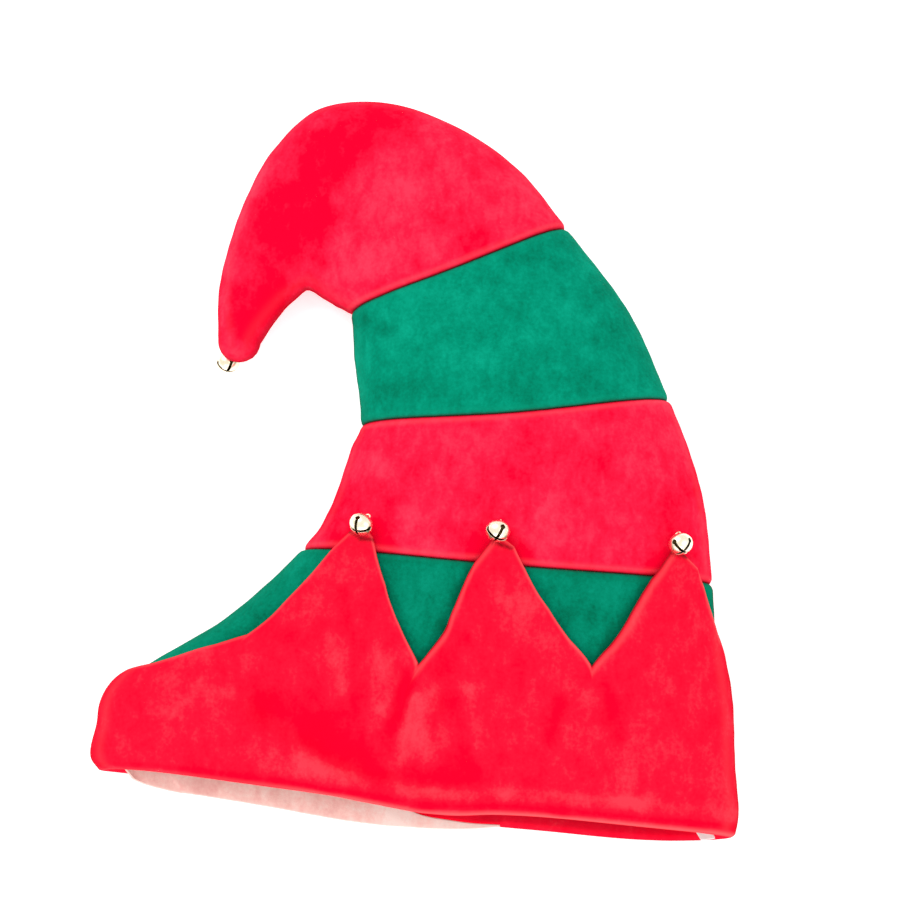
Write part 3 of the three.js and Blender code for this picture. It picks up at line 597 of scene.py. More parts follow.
def spread(count, ends=0.0, packing=0.5):
    """Shares from 0 to 1, closer together at both ends, with extra places near each end."""
    share = np.linspace(0, 1, count + 1)
    share = share - packing * np.sin(2 * math.pi * share) / (2 * math.pi)
    if not ends:
        return share
    near = ends * np.array([0.1, 0.22, 0.4, 0.65, 1.0, 1.5])
    share = share[(share == 0) | (share == 1) | ((share > near[-1]) & (share < 1 - near[-1]))]
    return np.unique(np.r_[share, near, 1 - near])


def placed(points):
    """From the tables' frame to the part's frame, kept above the floor."""
    moved = np.array(points, float)
    moved[..., :2] += ZERO
    moved[..., 2] = np.maximum(moved[..., 2], 0)
    return moved


def make_mesh(name, points, faces, marks):
    """A smooth piece that carries its marks at its points."""
    mesh = bpy.data.meshes.new(name)
    mesh.from_pydata(points.tolist(), [], faces)
    mesh.update()
    for mark, values in marks.items():
        layer = mesh.attributes.new(mark, "FLOAT", "POINT")
        layer.data.foreach_set("value", np.asarray(values, np.float32).ravel())
    mesh.shade_smooth()
    piece = bpy.data.objects.new(name, mesh)
    bpy.context.scene.collection.objects.link(piece)
    return piece


def grid_faces(columns, rows, start, turned):
    """Four-sided faces of a grid of points."""
    c, r = np.meshgrid(np.arange(columns - 1), np.arange(rows - 1), indexing="ij")
    a = start + c * rows + r
    quads = np.stack([a, a + rows, a + rows + 1, a + 1], -1).reshape(-1, 4)
    return quads[:, ::-1] if turned else quads


def sheet(name, front, back, marks, turned=False):
    """A closed piece of cloth from its two faces, given as grids of points."""
    columns, rows = front.shape[:2]
    count = columns * rows
    points = placed(np.concatenate([front.reshape(-1, 3), back.reshape(-1, 3)]))
    ring = np.concatenate([
        np.arange(columns) * rows,
        (columns - 1) * rows + np.arange(1, rows),
        np.arange(columns - 2, -1, -1) * rows + rows - 1,
        np.arange(rows - 2, 0, -1),
    ])
    after = np.roll(ring, -1)
    edge = np.stack([ring, ring + count, after + count, after], -1)
    faces = np.concatenate([
        grid_faces(columns, rows, 0, turned),
        grid_faces(columns, rows, count, not turned),
        edge[:, ::-1] if turned else edge,
    ])
    on_both = {}
    for mark, values in marks.items():
        on_front = np.broadcast_to(values, front.shape[:2]).ravel()
        on_both[mark] = np.concatenate([on_front, on_front])
    return make_mesh(name, points, faces.tolist(), on_both)


def rounding(distance, radius=EDGE_ROUND):
    """How far a face of cloth falls away near its edge."""
    short = np.clip(1 - distance / radius, 0, 1)
    return radius * (1 - np.sqrt(1 - short ** 2))


def seam_relief(distance, pucker_at):
    """Fall of the outer face into a sewn seam, with small puckers beside it."""
    dip = SEAM_DIP * bump(distance, SEAM_DIP_WIDTH) - SEAM_RIDGE * bump(distance - 0.0045, 0.003)
    pucker = PUCKER * np.sin(pucker_at) * bump(distance - 0.003, 0.004)
    return dip + pucker


def side_distance(panel, across, along):
    """Distance along the cloth to the nearer side seam."""
    cut = section(along)
    half = np.linalg.norm(cut["half"], axis=-1)
    reach = np.abs((cut["top"] if panel == UPPER else cut["base"]) - cut["fold"])
    length = 2 * half + 1.1 * reach
    return np.minimum(across, 1 - across) * length


def marks_at(plan, seam_distance=1.0, side=1.0, side_painted_shading=0.0):
    """The pile's tone with painted light and shade, the dark of the seams with painted shade beside the
    side seams, and a painted highlight on the turned edge beside the seams and inside the side seams.
    """
    from_seam = np.broadcast_to(seam_distance, plan.shape[:-1])
    seam = bump(from_seam, 0.0007)
    # the rim mark: a painted highlight on the turned edge beside each seam
    rim = 0.55 * bump(from_seam - 0.0021, 0.0011)
    # a painted highlight a little inside each side seam; the seam mark below adds painted shade right
    # beside it
    side_painted_highlight = 0.35 * side_painted_shading * bump(side - SIDE_PAINTED_HIGHLIGHT_AT, SIDE_PAINTED_HIGHLIGHT_WIDTH)
    return {
        "brushed": np.clip(strokes(PILE_AND_PAINTED_LIGHT_STROKES, plan), -1.1, 1),
        "seam": np.maximum(seam, side_painted_shading * fade(SIDE_PAINTED_SHADE_FROM, SIDE_PAINTED_SHADE_TO, side)),
        "rim": np.maximum(rim, side_painted_highlight),
    }


def upright(column, along):
    """As leaning, where the lines up the hat keep their share of the way across."""
    return column


def band(panel, name, start, end, columns, rows, column_across=upright,
         closed_end=False, side_painted_shading=0.8):
    """A band of body cloth between two seams."""
    length = (end - start) * MIDDLE_LENGTH
    share_rows = spread(rows, ends=EDGE_ROUND / length, packing=0)
    share_columns = spread(columns, ends=EDGE_ROUND / WIDEST * 2.0)
    gap = GAP / 2 / MIDDLE_LENGTH
    places = start + gap + share_rows * (end - start - 2 * gap)
    column, along = np.meshgrid(share_columns, places, indexing="ij")
    across = inset(column_across(column, along))
    point, normal, _, reach = cloth_frame(panel, across, along)
    from_start = (along - start) * reach
    from_end = (end - along) * reach if not closed_end else np.full_like(along, 1.0)
    from_seam = np.minimum(from_start, from_end)
    from_side = side_distance(panel, across, along)
    pucker = point[..., 0] * 2 * math.pi / PUCKER_PITCH + 2.2 * np.sin(point[..., 0] * 190)
    fall = seam_relief(from_seam, pucker) + rounding(from_seam)
    side_pucker = point[..., 1] * 2 * math.pi / SIDE_PUCKER_PITCH
    side_fall = seam_relief(from_side, side_pucker) * 0.6 + rounding(from_side)
    outer = point - normal * (fall + side_fall)[..., None]
    under = CLOTH - rounding(from_seam) - rounding(from_side)
    inner = point - normal * (under + 0.0002 * bump(from_seam, 0.002))[..., None]
    marks = marks_at(point[..., :2], from_seam, from_side, side_painted_shading)
    if panel == UPPER:
        # painted shadow of the cuff's points on the upper panel's bands
        marks["brushed"] = np.clip(marks["brushed"] + strokes(PAINTED_SHADOW_STROKES, point[..., :2]), -1.2, 1)
    return sheet(name, outer, inner, marks, turned=panel == LOWER)


def zigzag_edge(column):
    """Height of the cuff's cut edge at each column."""
    i = np.clip(np.searchsorted(ZIGZAG["across"], column, side="right") - 1, 0, len(ZIGZAG) - 2)
    span = ZIGZAG["across"][i + 1] - ZIGZAG["across"][i]
    share = (column - ZIGZAG["across"][i]) / span
    return ZIGZAG["along"][i] * (1 - share) + ZIGZAG["along"][i + 1] * share


HEM_OUTER = CLOTH * 1.5 + GAP
HEM_INNER = CLOTH / 2 + GAP
TURN_ROW = HEM_TURN_IN / MIDDLE_LENGTH


def hem_row(panel, across):
    """Place along the hat where the cuff starts to turn in."""
    _, _, _, reach = cloth_frame(panel, inset(across), np.full_like(across, 0.002))
    return HEM_OUTER / reach


def turned_in_ply(panel, share, hem, count):
    """Faces of the ply behind the hem, from its cut edge down, and how far in its places lie."""
    turned = TURN_ROW + (hem[:, None] - TURN_ROW) * np.linspace(0, 1, count)
    column = np.repeat(share[:, None], count, 1)
    point, normal, _, reach = cloth_frame(panel, inset(column), turned)
    from_cut = (TURN_ROW - turned) * reach
    front = point + normal * (-2 * CLOTH - GAP + rounding(from_cut))[..., None]
    back = point + normal * (-CLOTH - GAP - rounding(from_cut))[..., None]
    return front, back, (turned - hem[:, None]) * reach


def hem_turn(panel, share, hem):
    """Faces of the cloth where it goes round the hem."""
    point, normal, forward, _ = cloth_frame(panel, inset(share), hem)
    centre = point - normal * CLOTH / 2
    angles = np.linspace(0, math.pi, 14)[1:-1]
    inwards = np.cos(angles)[:, None] * normal[:, None]
    upwards = np.sin(angles)[:, None] * forward[:, None]
    around = -inwards - upwards
    return centre[:, None] + around * HEM_OUTER, centre[:, None] + around * HEM_INNER


def outer_ply(panel, share, hem, rows):
    """Faces of the cuff's outer ply up to the zigzag, and where its places lie on it."""
    edge = zigzag_edge(share)
    up = np.r_[np.linspace(0, 1, rows)[:-1], 1 - np.array([0.012, 0.006, 0.003, 0.0012])]
    up = np.unique(np.r_[up, 1.0])
    along = hem[:, None] + (edge - hem)[:, None] * up
    column = np.repeat(share[:, None], len(up), 1)
    across = inset(leaning(column, along))
    point, normal, _, reach = cloth_frame(panel, across, along)
    stand = GAP + POINT_STAND * fade(0.5 * POINTS_START, 1.1 * POINTS_START, along)
    slope = np.gradient(edge, share) * MIDDLE_LENGTH / (HAT_WIDTH * 0.97)
    from_edge = (edge[:, None] - along) * reach / np.sqrt(1 + slope[:, None] ** 2)
    from_side = side_distance(panel, across, along)
    swell = 0.0004 * bump(from_edge - 0.004, 0.004)
    side_fall = 0.6 * seam_relief(from_side, point[..., 1] * CUFF_PUCKERS) + rounding(from_side)
    fall = rounding(from_edge, 0.0007) + side_fall
    front = point + normal * (stand + CLOTH + swell - fall)[..., None]
    back = point + normal * (stand + rounding(from_edge, 0.0005))[..., None]
    place = {
        "slope": slope[:, None],
        "from_edge": from_edge,
        "from_side": from_side,
        "from_hem": (along - hem[:, None]) * reach,
    }
    return front, back, place


def shade_outer_ply(marks, part, place, turned_in):
    """Painted highlights and painted shade along the zigzag, the side seams and the hem of the outer ply.
    """
    falling = fade(0.2, -0.2, place["slope"])
    painted_edge_highlight = falling * bump(place["from_edge"] - 0.0005, 0.0007)
    painted_edge_highlight = painted_edge_highlight + (1 - falling) * 0.6 * bump(place["from_edge"] - 0.0018, 0.0012)
    painted_edge_shade = (1 - falling) * 0.8 * bump(place["from_edge"], 0.0006)
    painted_side_shade = 0.85 * fade(SIDE_PAINTED_SHADE_FROM, SIDE_PAINTED_SHADE_TO, place["from_side"])
    painted_side_highlight = 0.22 * bump(place["from_side"] - SIDE_PAINTED_HIGHLIGHT_AT, SIDE_PAINTED_HIGHLIGHT_WIDTH)
    marks["rim"][:, part] = np.maximum(painted_edge_highlight, painted_side_highlight)
    marks["seam"][:, part] = np.maximum(painted_edge_shade, painted_side_shade)
    # painted shade just above the hem, and a painted highlight on the ridge above that
    marks["brushed"][:, part] -= (0.5 + 0.5 * turned_in) * bump(place["from_hem"] - 0.0014, 0.0013)
    marks["brushed"][:, part] += 0.6 * turned_in * bump(place["from_hem"] - 0.0070, 0.0030)


def cuff(panel, name, columns, rows):
    """The cuff: a ply turned in, the round of the hem and the outer ply up to the zigzag."""
    share = np.unique(np.r_[spread(columns, ends=EDGE_ROUND / WIDEST * 2.0), ZIGZAG["across"]])
    hem = hem_row(panel, share)
    inside_front, inside_back, in_from_hem = turned_in_ply(panel, share, hem, max(rows // 6, 6))
    turn_front, turn_back = hem_turn(panel, share, hem)
    outside_front, outside_back, place = outer_ply(panel, share, hem, rows)
    front = np.concatenate([inside_front, turn_front, outside_front], 1)
    back = np.concatenate([inside_back, turn_back, outside_back], 1)

    inside = inside_front.shape[1]
    before = inside + turn_front.shape[1]
    marks = marks_at(front[..., :2])
    turned_in = fade(0.2, 0.4, share)[:, None]
    turn_share = np.linspace(0, 1, before - inside)[None, :]
    # painted shade on the turned-in ply, deeper inside the opening
    marks["seam"][:, :inside] = 0.6 * fade(0.0020, 0.0040, in_from_hem)
    # a painted highlight along the round of the hem
    marks["rim"][:, inside:before] = (0.35 + 0.95 * turned_in) * bump(turn_share - 0.8, 0.17)
    shade_outer_ply(marks, slice(before, None), place, turned_in)
    if panel == UPPER:
        marks["brushed"][:, before:] -= 0.12
        # painted shadow lines where the bells sit on the points
        marks["seam"] = np.maximum(marks["seam"], strokes(BELL_SHADOW_LINES, front[..., :2]).clip(0, 1))
    else:
        # painted shade on the lower panel's turned-in ply and hem, inside the opening
        marks["brushed"][:, :before] -= 0.3
    return sheet(name, front, back, marks, turned=panel == LOWER)


STRIP_FACE = -2 * CLOTH - 2 * GAP


def strip_point(across, inwards, depth):
    """Point of the strip or label on the lower panel, at a depth off the body's outer face."""
    across, inwards = np.broadcast_arrays(across, inwards)
    row = hem_row(LOWER, across) + np.maximum(inwards, 0) / MIDDLE_LENGTH
    point, normal, forward, _ = cloth_frame(LOWER, inset(across), row)
    rolled = point + normal * depth + forward * np.minimum(inwards, 0)[..., None]
    rolled[..., 2] -= 0.06 * np.minimum(inwards, 0) ** 2 / STRIP_ROLL
    return rolled


def pale_strip(name):
    """The pale strip inside the opening, rolled out a little over the lower hem."""
    first, last = STRIP_EDGE["across"][0], STRIP_EDGE["across"][-1]
    share = np.linspace(first, last, 150)
    edge = -through(STRIP_EDGE, "across", "roll")(share) * STRIP_ROLL - HEM_OUTER
    whole = through(STRIP_EDGE, "across", "whole")(share)
    width = (STRIP_DEPTH - edge) * whole
    walk = spread(30, ends=0.02, packing=0)
    inwards = edge[:, None] + width[:, None] * walk
    across = np.repeat(share[:, None], len(walk), 1)
    ripple = 0.00025 * np.sin(share * 95)[:, None] * bump(inwards - edge[:, None], 0.006)
    from_edge = np.minimum(inwards - edge[:, None], (edge + width)[:, None] - inwards)
    front_depth = STRIP_FACE - STRIP + rounding(from_edge, 0.0005) - ripple
    back_depth = STRIP_FACE - rounding(from_edge, 0.0003) - ripple
    front = strip_point(across, inwards, front_depth[..., None])
    back = strip_point(across, inwards, back_depth[..., None])
    marks = marks_at(front[..., :2])
    # a paler line along both of the strip's edges
    marks["rim"] = bump(from_edge, 0.001)
    # painted light on the strip from about 0.4 of the way across onwards
    marks["brushed"] = 0.9 * fade(0.36, 0.5, share)[:, None]
    return sheet(name, front, back, marks, turned=True)


def label(name):
    """The blank tag that lies aslant by the right seam."""
    start = LABEL_INSET - HEM_OUTER
    aside = LABEL_WIDTH * np.linspace(-0.5, 0.5, 24)
    inwards = np.linspace(start, LABEL_DEPTH, 36)
    aside, inwards = np.meshgrid(aside, inwards, indexing="ij")
    across = LABEL_ACROSS + (aside - LABEL_SLANT * (inwards - start)) / HAT_WIDTH
    curl = 0.0006 * bump(aside + LABEL_WIDTH / 2, 0.003) + 0.0002 * np.sin(inwards * 420)
    front = strip_point(across, inwards, (STRIP_FACE - LABEL - curl)[..., None])
    back = strip_point(across, inwards, (STRIP_FACE - 0.0004 - curl)[..., None])
    return sheet(name, front, back, marks_at(front[..., :2]), turned=True)


def bell_shell(radius):
    """A ball cut by a cross of slots: four petals that join past the ends of the slots."""
    steps = 44
    turns = 18
    polar = np.linspace(0.0, math.pi, steps + 1)
    height = radius * (polar - SLOT_END)
    slot = np.where(polar < SLOT_END, BELL_SLOT / 2, 0)
    hole = np.sqrt(np.maximum(BELL_HOLE ** 2 - height ** 2, 0))
    cut = np.maximum(slot, hole)
    ring = np.maximum(radius * np.sin(polar), 1e-9)
    away = np.arcsin(np.clip(cut / ring, 0, math.sin(math.pi / 4)))
    seam = 1 + 0.02 * bump(polar - math.pi / 2 - 0.12, 0.05)
    points = []
    faces = []
    for quarter in range(4):
        start = len(points)
        first = quarter * math.pi / 2
        for k, angle in enumerate(polar):
            for turn in np.linspace(away[k], math.pi / 2 - away[k], turns + 1):
                around = first + turn
                across = math.sin(angle) * radius * seam[k]
                tip = -math.cos(angle) * radius * seam[k]
                points.append((across * math.cos(around), tip * BELL_SQUAT, across * math.sin(around)))
        for k in range(steps):
            for t in range(turns):
                a = start + k * (turns + 1) + t
                faces.append((a, a + turns + 1, a + turns + 2, a + 1))
    return points, faces


def make_bell(name, centre, slotted, turn):
    """A hollow ball with a cross of slots in one end and a wire loop at the other."""
    radius = BELL / 2
    points, faces = bell_shell(radius)
    mesh = bpy.data.meshes.new(name)
    mesh.from_pydata(points, [], faces)
    piece = bpy.data.objects.new(name, mesh)
    bpy.context.scene.collection.objects.link(piece)
    weld = piece.modifiers.new("joined petals", "WELD")
    weld.merge_threshold = PETAL_WELD
    shell = piece.modifiers.new("wall", "SOLIDIFY")
    shell.thickness = BELL_WALL
    shell.offset = -1
    rounded = piece.modifiers.new("rounded edges", "BEVEL")
    rounded.width = BELL_EDGE_ROUND
    rounded.segments = 2
    rounded.limit_method = "ANGLE"
    bake(piece)
    loop = wire_loop(radius * BELL_SQUAT)
    join(piece, loop)
    mark_hollow(piece, radius)
    axis = Vector((0, -1, 0))
    aim = axis.rotation_difference(Vector(slotted).normalized())
    spin = Matrix.Rotation(math.radians(turn), 4, axis)
    seat = Matrix.Translation(Vector(placed(centre)))
    piece.data.transform(seat @ aim.to_matrix().to_4x4() @ spin)
    piece.data.shade_smooth()
    return piece


def mark_hollow(piece, radius):
    """Marks the inside of the shell, which is painted dark as painted shade."""
    values = []
    for v in piece.data.vertices:
        out = math.sqrt(v.co.x ** 2 + (v.co.y / BELL_SQUAT) ** 2 + v.co.z ** 2)
        values.append(1.0 if out < radius - 0.4 * BELL_WALL else 0.0)
    layer = piece.data.attributes.new("hollow", "FLOAT", "POINT")
    layer.data.foreach_set("value", values)


def bake(piece):
    """Turns a piece's modifiers into its mesh."""
    graph = bpy.context.evaluated_depsgraph_get()
    mesh = bpy.data.meshes.new_from_object(piece.evaluated_get(graph))
    piece.modifiers.clear()
    old = piece.data
    piece.data = mesh
    bpy.data.meshes.remove(old)


def join(piece, other):
    """Adds another object's mesh to a piece."""
    count = len(piece.data.vertices)
    points = [tuple(v.co) for v in piece.data.vertices] + [tuple(v.co) for v in other.data.vertices]
    faces = [tuple(p.vertices) for p in piece.data.polygons]
    faces += [tuple(i + count for i in p.vertices) for p in other.data.polygons]
    mesh = bpy.data.meshes.new(piece.name)
    mesh.from_pydata(points, [], faces)
    mesh.update()
    old = piece.data
    piece.data = mesh
    bpy.data.meshes.remove(old)
    bpy.data.objects.remove(other)


def wire_loop(radius):
    """The loop that the bell is sewn on by."""
    size = BELL_LOOP_REACH / 2
    wire = BELL_LOOP_WIRE / 2 * 0.8
    points = []
    faces = []
    rounds, sides = 28, 10
    for i in range(rounds):
        a = 2 * math.pi * i / rounds
        for j in range(sides):
            b = 2 * math.pi * j / sides
            out = size + wire * math.cos(b)
            points.append((out * math.cos(a), radius + size * 0.62 + out * math.sin(a), wire * math.sin(b)))
    for i in range(rounds):
        for j in range(sides):
            a, b = i * sides + j, i * sides + (j + 1) % sides
            c, d = ((i + 1) % rounds) * sides + j, ((i + 1) % rounds) * sides + (j + 1) % sides
            faces.append((a, c, d, b))
    mesh = bpy.data.meshes.new("loop")
    mesh.from_pydata(points, [], faces)
    loop = bpy.data.objects.new("loop", mesh)
    bpy.context.scene.collection.objects.link(loop)
    return loop


# Materials
class Wire:
    """One output of a material's nodes, with Python's arithmetic."""

    def __init__(self, shade, socket):
        self.shade = shade
        self.socket = socket

    def math(self, operation, first, second):
        return self.shade.node("ShaderNodeMath", {"operation": operation}, {0: first, 1: second})

    def __add__(self, other):
        return self.math("ADD", self, other)

    __radd__ = __add__

    def __mul__(self, other):
        return self.math("MULTIPLY", self, other)

    __rmul__ = __mul__

    def __sub__(self, other):
        return self.math("SUBTRACT", self, other)

    def __rsub__(self, other):
        return self.math("SUBTRACT", other, self)

    def held(self):
        """Kept between 0 and 1."""
        return self.shade.node("ShaderNodeClamp", {}, {"Value": self})


class Shade:
    """A material made of nodes."""

    def __init__(self, name):
        self.material = bpy.data.materials.new(name)
        self.material.use_nodes = True
        self.tree = self.material.node_tree
        self.tree.nodes.clear()

    def node(self, kind, settings, inputs, output=0):
        made = self.tree.nodes.new(kind)
        for key, value in settings.items():
            setattr(made, key, value)
        for key, value in inputs.items():
            if isinstance(value, Wire):
                self.tree.links.new(value.socket, made.inputs[key])
            else:
                made.inputs[key].default_value = value
        return Wire(self, made.outputs[output])

    def places(self):
        return self.node("ShaderNodeTexCoord", {}, {}, "Object")

    def noise(self, scale, detail=3.0, roughness=0.55, distortion=0.0, at=None):
        inputs = {"Scale": scale, "Detail": detail, "Roughness": roughness, "Distortion": distortion}
        inputs["Vector"] = at or self.places()
        return self.node("ShaderNodeTexNoise", {}, inputs, 0)

    def mark(self, name):
        return self.node("ShaderNodeAttribute", {"attribute_name": name}, {}, "Fac")

    def mix(self, first, second, share):
        inputs = {0: share, 6: first, 7: second}
        return self.node("ShaderNodeMix", {"data_type": "RGBA"}, inputs, 2)

    def finish(self, inputs):
        shader = self.node("ShaderNodeBsdfPrincipled", {}, inputs)
        self.node_output(shader)
        return self.material

    def node_output(self, shader):
        made = self.tree.nodes.new("ShaderNodeOutputMaterial")
        self.tree.links.new(shader.socket, made.inputs["Surface"])


def velour(name, deep, middle, pale, seam, rim, patch=1.0, fleck=1.0):
    """Short pile: soft patches where it lies one way or the other, fine flecks, and painted light and shade
    from its marks.
    """
    shade = Shade(name)
    broad = shade.noise(30.0, detail=1.0, roughness=0.5)
    patches = shade.noise(85.0, detail=2.0, roughness=0.5)
    along_nap = shade.node("ShaderNodeMapping", {}, {
        "Vector": shade.places(), "Rotation": (0.0, 0.0, math.radians(-35)), "Scale": (1.0, 0.55, 1.0)})
    streaks = shade.noise(230.0, detail=2.0, roughness=0.55, distortion=0.3, at=along_nap)
    flecks = shade.noise(620.0, detail=2.0, roughness=0.55)
    brushed = shade.mark("brushed")
    lie = 0.5 + 0.5 * brushed + (broad - 0.5) * (0.9 * patch) + (patches - 0.5) * (1.0 * patch)
    lie = (lie + (streaks - 0.5) * (1.0 * patch) + (flecks - 0.5) * (0.6 * fleck)).held()
    low = shade.mix(deep, middle, (lie * 2.0).held())
    colour = shade.mix(low, pale, (lie * 2.0 - 1.0).held())
    # the rim mark mixes in the colour of the painted highlights
    colour = shade.mix(colour, rim, (shade.mark("rim") * 0.6).held())
    # the seam mark mixes in the colour of the dark seam lines and of the painted shade
    colour = shade.mix(colour, seam, (shade.mark("seam") * 0.85).held())
    pile = shade.noise(2300.0, detail=2.0, roughness=0.7)
    nap = shade.noise(620.0, detail=2.0, roughness=0.5)
    height = pile * 0.6 + nap * 0.4
    normal = shade.node("ShaderNodeBump", {}, {"Strength": 0.35, "Distance": 0.0005, "Height": height})
    return shade.finish({
        "Base Color": colour,
        "Roughness": (0.86 + 0.12 * flecks),
        "Specular IOR Level": 0.02,
        "Sheen Weight": 0.05,
        "Sheen Roughness": 0.45,
        "Sheen Tint": (*pale[:3], 1.0),
        "Normal": normal,
    })


def metal_gold(name):
    """Thin stamped gold-coloured metal with fine brushing scratches, painted dark inside the shell as
    painted shade.
    """
    shade = Shade(name)
    cloud = shade.noise(420.0, detail=3.0)
    scratches = shade.noise(3200.0, detail=2.0, roughness=0.7)
    colour = shade.mix((0.97, 0.84, 0.56, 1), (1.0, 0.95, 0.80, 1), cloud)
    # the inside of the shell, seen through the slots, painted dark as painted shade
    colour = shade.mix(colour, (0.13, 0.085, 0.03, 1), shade.mark("hollow"))
    normal = shade.node("ShaderNodeBump", {}, {"Strength": 0.08, "Distance": 0.0002, "Height": scratches})
    return shade.finish({
        "Base Color": colour,
        "Metallic": 1.0,
        "Roughness": 0.22 + 0.14 * cloud,
        "Normal": normal,
    })


def label_cloth(name):
    """Woven satin tape."""
    shade = Shade(name)
    threads = shade.node("ShaderNodeTexWave", {"bands_direction": "X"}, {
        "Vector": shade.places(), "Scale": 1400.0, "Distortion": 0.6, "Detail": 1.0}, "Fac")
    soil = shade.noise(300.0)
    colour = shade.mix((0.90, 0.86, 0.83, 1), (0.97, 0.95, 0.93, 1), soil)
    normal = shade.node("ShaderNodeBump", {}, {"Strength": 0.25, "Distance": 0.0002, "Height": threads})
    return shade.finish({
        "Base Color": colour,
        "Roughness": 0.42 + 0.15 * threads,
        "Specular IOR Level": 0.3,
        "Normal": normal,
    })


# Each velour: deep, middle and pale pile, then the dark seam lines with painted shade, then the painted
# highlight
RED = velour(
    "red velour", (0.84, 0.0001, 0.024, 1), (0.87, 0.0105, 0.048, 1), (0.90, 0.033, 0.078, 1),
    (0.22, 0.006, 0.008, 1), (0.92, 0.085, 0.110, 1))
CUFF_RED = velour(
    "cuff red velour", (0.84, 0.0001, 0.020, 1), (0.865, 0.0062, 0.031, 1), (0.90, 0.036, 0.062, 1),
    (0.20, 0.006, 0.008, 1), (0.92, 0.105, 0.110, 1), patch=0.72)
GREEN = velour(
    "green velour", (0.0003, 0.155, 0.085, 1), (0.0004, 0.230, 0.135, 1), (0.0020, 0.310, 0.190, 1),
    (0.026, 0.034, 0.018, 1), (0.003, 0.25, 0.145, 1), patch=0.8, fleck=1.4)
# A darker copy of the green velour: painted shade on the low band between the cuff's points
GREEN_WITH_PAINTED_SHADE = velour(
    "low green velour", (0.0003, 0.115, 0.060, 1), (0.0003, 0.185, 0.105, 1), (0.0015, 0.240, 0.145, 1),
    (0.026, 0.034, 0.018, 1), (0.003, 0.22, 0.12, 1), patch=0.8, fleck=1.4)
PALE = velour(
    "pale strip cloth", (0.84, 0.42, 0.38, 1), (0.95, 0.62, 0.55, 1), (0.99, 0.82, 0.74, 1),
    (0.60, 0.25, 0.22, 1), (0.95, 0.70, 0.64, 1), patch=0.8)
GOLD = metal_gold("gold bell metal")
WHITE = label_cloth("label tape")


def finish_piece(piece, node, material):
    """Gives a piece its material, hangs it on the root body and hides the solid that it stands for."""
    piece.data.materials.clear()
    piece.data.materials.append(material)
    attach(piece, "root")
    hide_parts(node)


def add_panel(panel, side, fine):
    """All the bands of one panel, with more points on the upper one."""

    def count(number):
        return int(number * fine)

    tip = band(panel, f"{side}_tip_cloth", HIGH_SEAM, 1.0, count(150), count(150),
               closed_end=True, side_painted_shading=0.5)
    high = band(panel, f"{side}_high_cloth", MID_SEAM, HIGH_SEAM, count(170), count(70))
    middle = band(panel, f"{side}_middle_cloth", LOW_SEAM, MID_SEAM, count(190), count(72), leaning)
    start = HEM_OUTER / MIDDLE_LENGTH
    low = band(panel, f"{side}_low_cloth", start, LOW_SEAM, count(200), count(80), leaning)
    turned = cuff(panel, f"{side}_cuff_cloth", count(280), count(96))
    finish_piece(tip, f"tip_{side}", RED)
    finish_piece(high, f"high_band_{side}", GREEN)
    finish_piece(middle, f"middle_band_{side}", RED)
    finish_piece(low, f"low_band_{side}", GREEN_WITH_PAINTED_SHADE)
    finish_piece(turned, f"cuff_{side}", CUFF_RED)


def add_point_bells(panel, side):
    """A bell on each point of one panel's cuff; the lower panel's rest on the floor."""
    across, along = corners()
    point, normal, forward, _ = cloth_frame(panel, across, along)
    rest = GAP + POINT_STAND + CLOTH + GAP + BELL / 2
    centres = point + normal * (rest - BELL_NESTLES)
    if panel == LOWER:
        centres[:, 2] = BELL / 2
    slotted = normal * math.cos(BELL_LEAN) - forward * math.sin(BELL_LEAN)
    for i in range(len(across)):
        bell = make_bell(f"{side}_bell_{i + 1}", centres[i], slotted[i], BELL_TURNS[i])
        finish_piece(bell, f"point_bell_{side}_{i + 1}", GOLD)


def add_tip_bell():
    """The bell under the end of the tip."""
    end = section(np.array([1.0]))
    outwards = -end["to_hem"][0]
    aside = end["half"][0] / np.linalg.norm(end["half"][0])
    place = end["middle"][0] - outwards * TIP_BELL_UNDER + aside * TIP_BELL_ASIDE
    bell = make_bell("end_bell", (place[0], place[1], BELL / 2), (*outwards, TIP_BELL_RISE), BELL_TURNS[1])
    finish_piece(bell, "tip_bell", GOLD)


add_panel(UPPER, "upper", 1.0)
add_panel(LOWER, "lower", 0.5)
finish_piece(pale_strip("opening_strip"), "inner_band", PALE)
finish_piece(label("opening_label"), "care_label", WHITE)
add_point_bells(UPPER, "upper")
add_point_bells(LOWER, "lower")
add_tip_bell()


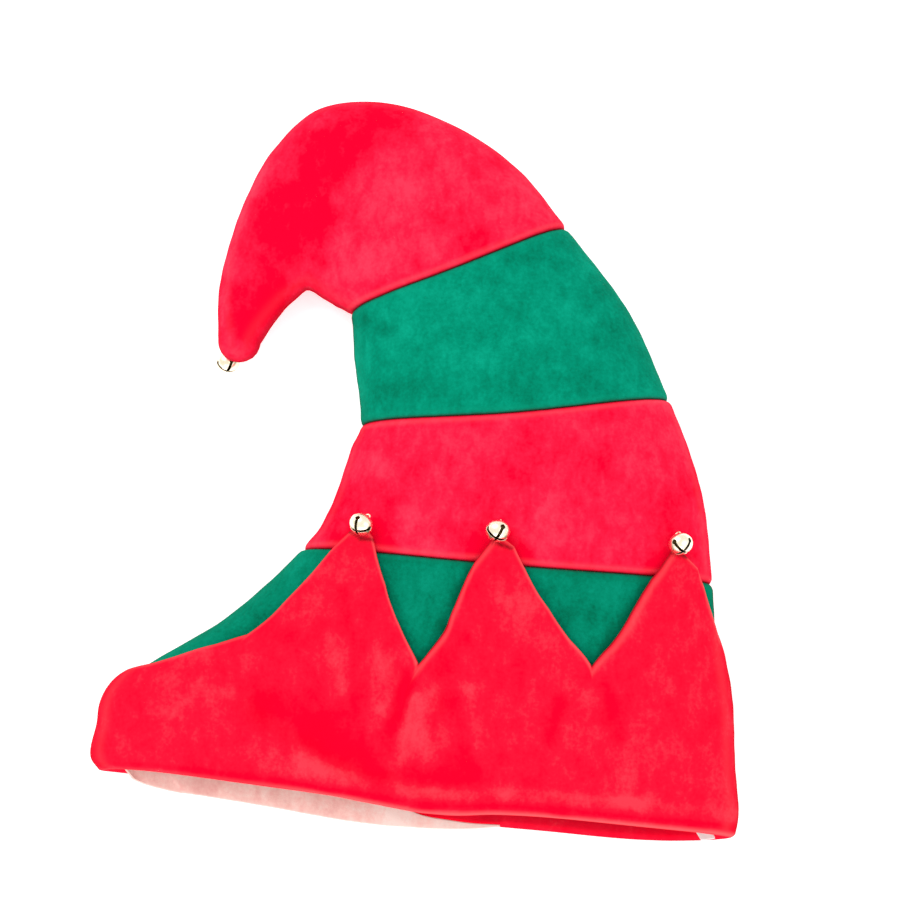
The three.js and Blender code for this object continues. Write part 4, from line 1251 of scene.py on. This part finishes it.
# Floor, light and camera
def add_floor():
    """A plain pale floor that shows as white."""
    mesh = bpy.data.meshes.new("floor")
    size = 4.0
    rim = [(-size, -size, 0), (size, -size, 0), (size, size, 0), (-size, size, 0)]
    mesh.from_pydata(rim, [], [(0, 1, 2, 3)])
    floor = bpy.data.objects.new("floor", mesh)
    bpy.context.scene.collection.objects.link(floor)
    shade = Shade("pale floor")
    grain = shade.noise(6.0, detail=2.0)
    colour = shade.mix((0.90, 0.90, 0.90, 1), (0.93, 0.93, 0.93, 1), grain)
    floor.data.materials.append(shade.finish({
        "Base Color": colour,
        "Roughness": 0.9,
        "Specular IOR Level": 0.0,
        "Emission Color": (1.0, 1.0, 1.0, 1.0),
        "Emission Strength": 0.5,
    }))


def add_light(name, place, aim, size, power):
    """A softbox aimed at a point."""
    lamp = bpy.data.lights.new(name, "AREA")
    lamp.shape = "RECTANGLE"
    lamp.size, lamp.size_y = size
    lamp.energy = power
    light = bpy.data.objects.new(name, lamp)
    bpy.context.scene.collection.objects.link(light)
    direction = Vector(aim) - Vector(place)
    light.matrix_world = Matrix.Translation(place) @ direction.to_track_quat("-Z", "Y").to_matrix().to_4x4()


def add_camera():
    """The hat seen from almost straight above, from the hem's side."""
    right = Vector((1, 0, 0))
    up = Vector((0, math.sin(CAMERA_TILT), math.cos(CAMERA_TILT)))
    forward = Vector((0, math.cos(CAMERA_TILT), -math.sin(CAMERA_TILT)))
    aside, below = MIDDLE_PIXEL - ORIGIN_PIXEL[0], ORIGIN_PIXEL[1] - MIDDLE_PIXEL
    target = right * aside * PIXEL + up * below * PIXEL
    data = bpy.data.cameras.new("camera")
    data.sensor_width = SENSOR_WIDTH
    data.lens = SENSOR_WIDTH / 2 / (MIDDLE_PIXEL * PIXEL / CAMERA_DISTANCE)
    data.clip_start = 0.05
    camera = bpy.data.objects.new("camera", data)
    bpy.context.scene.collection.objects.link(camera)
    turn = Matrix((right, up, -forward)).transposed().to_4x4()
    camera.matrix_world = Matrix.Translation(target - forward * CAMERA_DISTANCE) @ turn
    bpy.context.scene.camera = camera


add_floor()
add_light("key softbox", (-0.9, 0.8, 1.5), (0, 0, 0), (1.2, 1.2), 14)
add_light("fill softbox", (1.1, -0.6, 1.3), (0, 0, 0), (1.4, 1.4), 5)
add_light("front softbox", (0.0, -1.2, 0.45), (0, -0.1, 0), (1.4, 0.5), 5)
world = bpy.data.worlds.new("studio")
world.use_nodes = True
world.node_tree.nodes["Background"].inputs["Color"].default_value = (1, 1, 1, 1)
world.node_tree.nodes["Background"].inputs["Strength"].default_value = 0.95
bpy.context.scene.world = world
bpy.context.scene.view_settings.view_transform = "Standard"
add_camera()
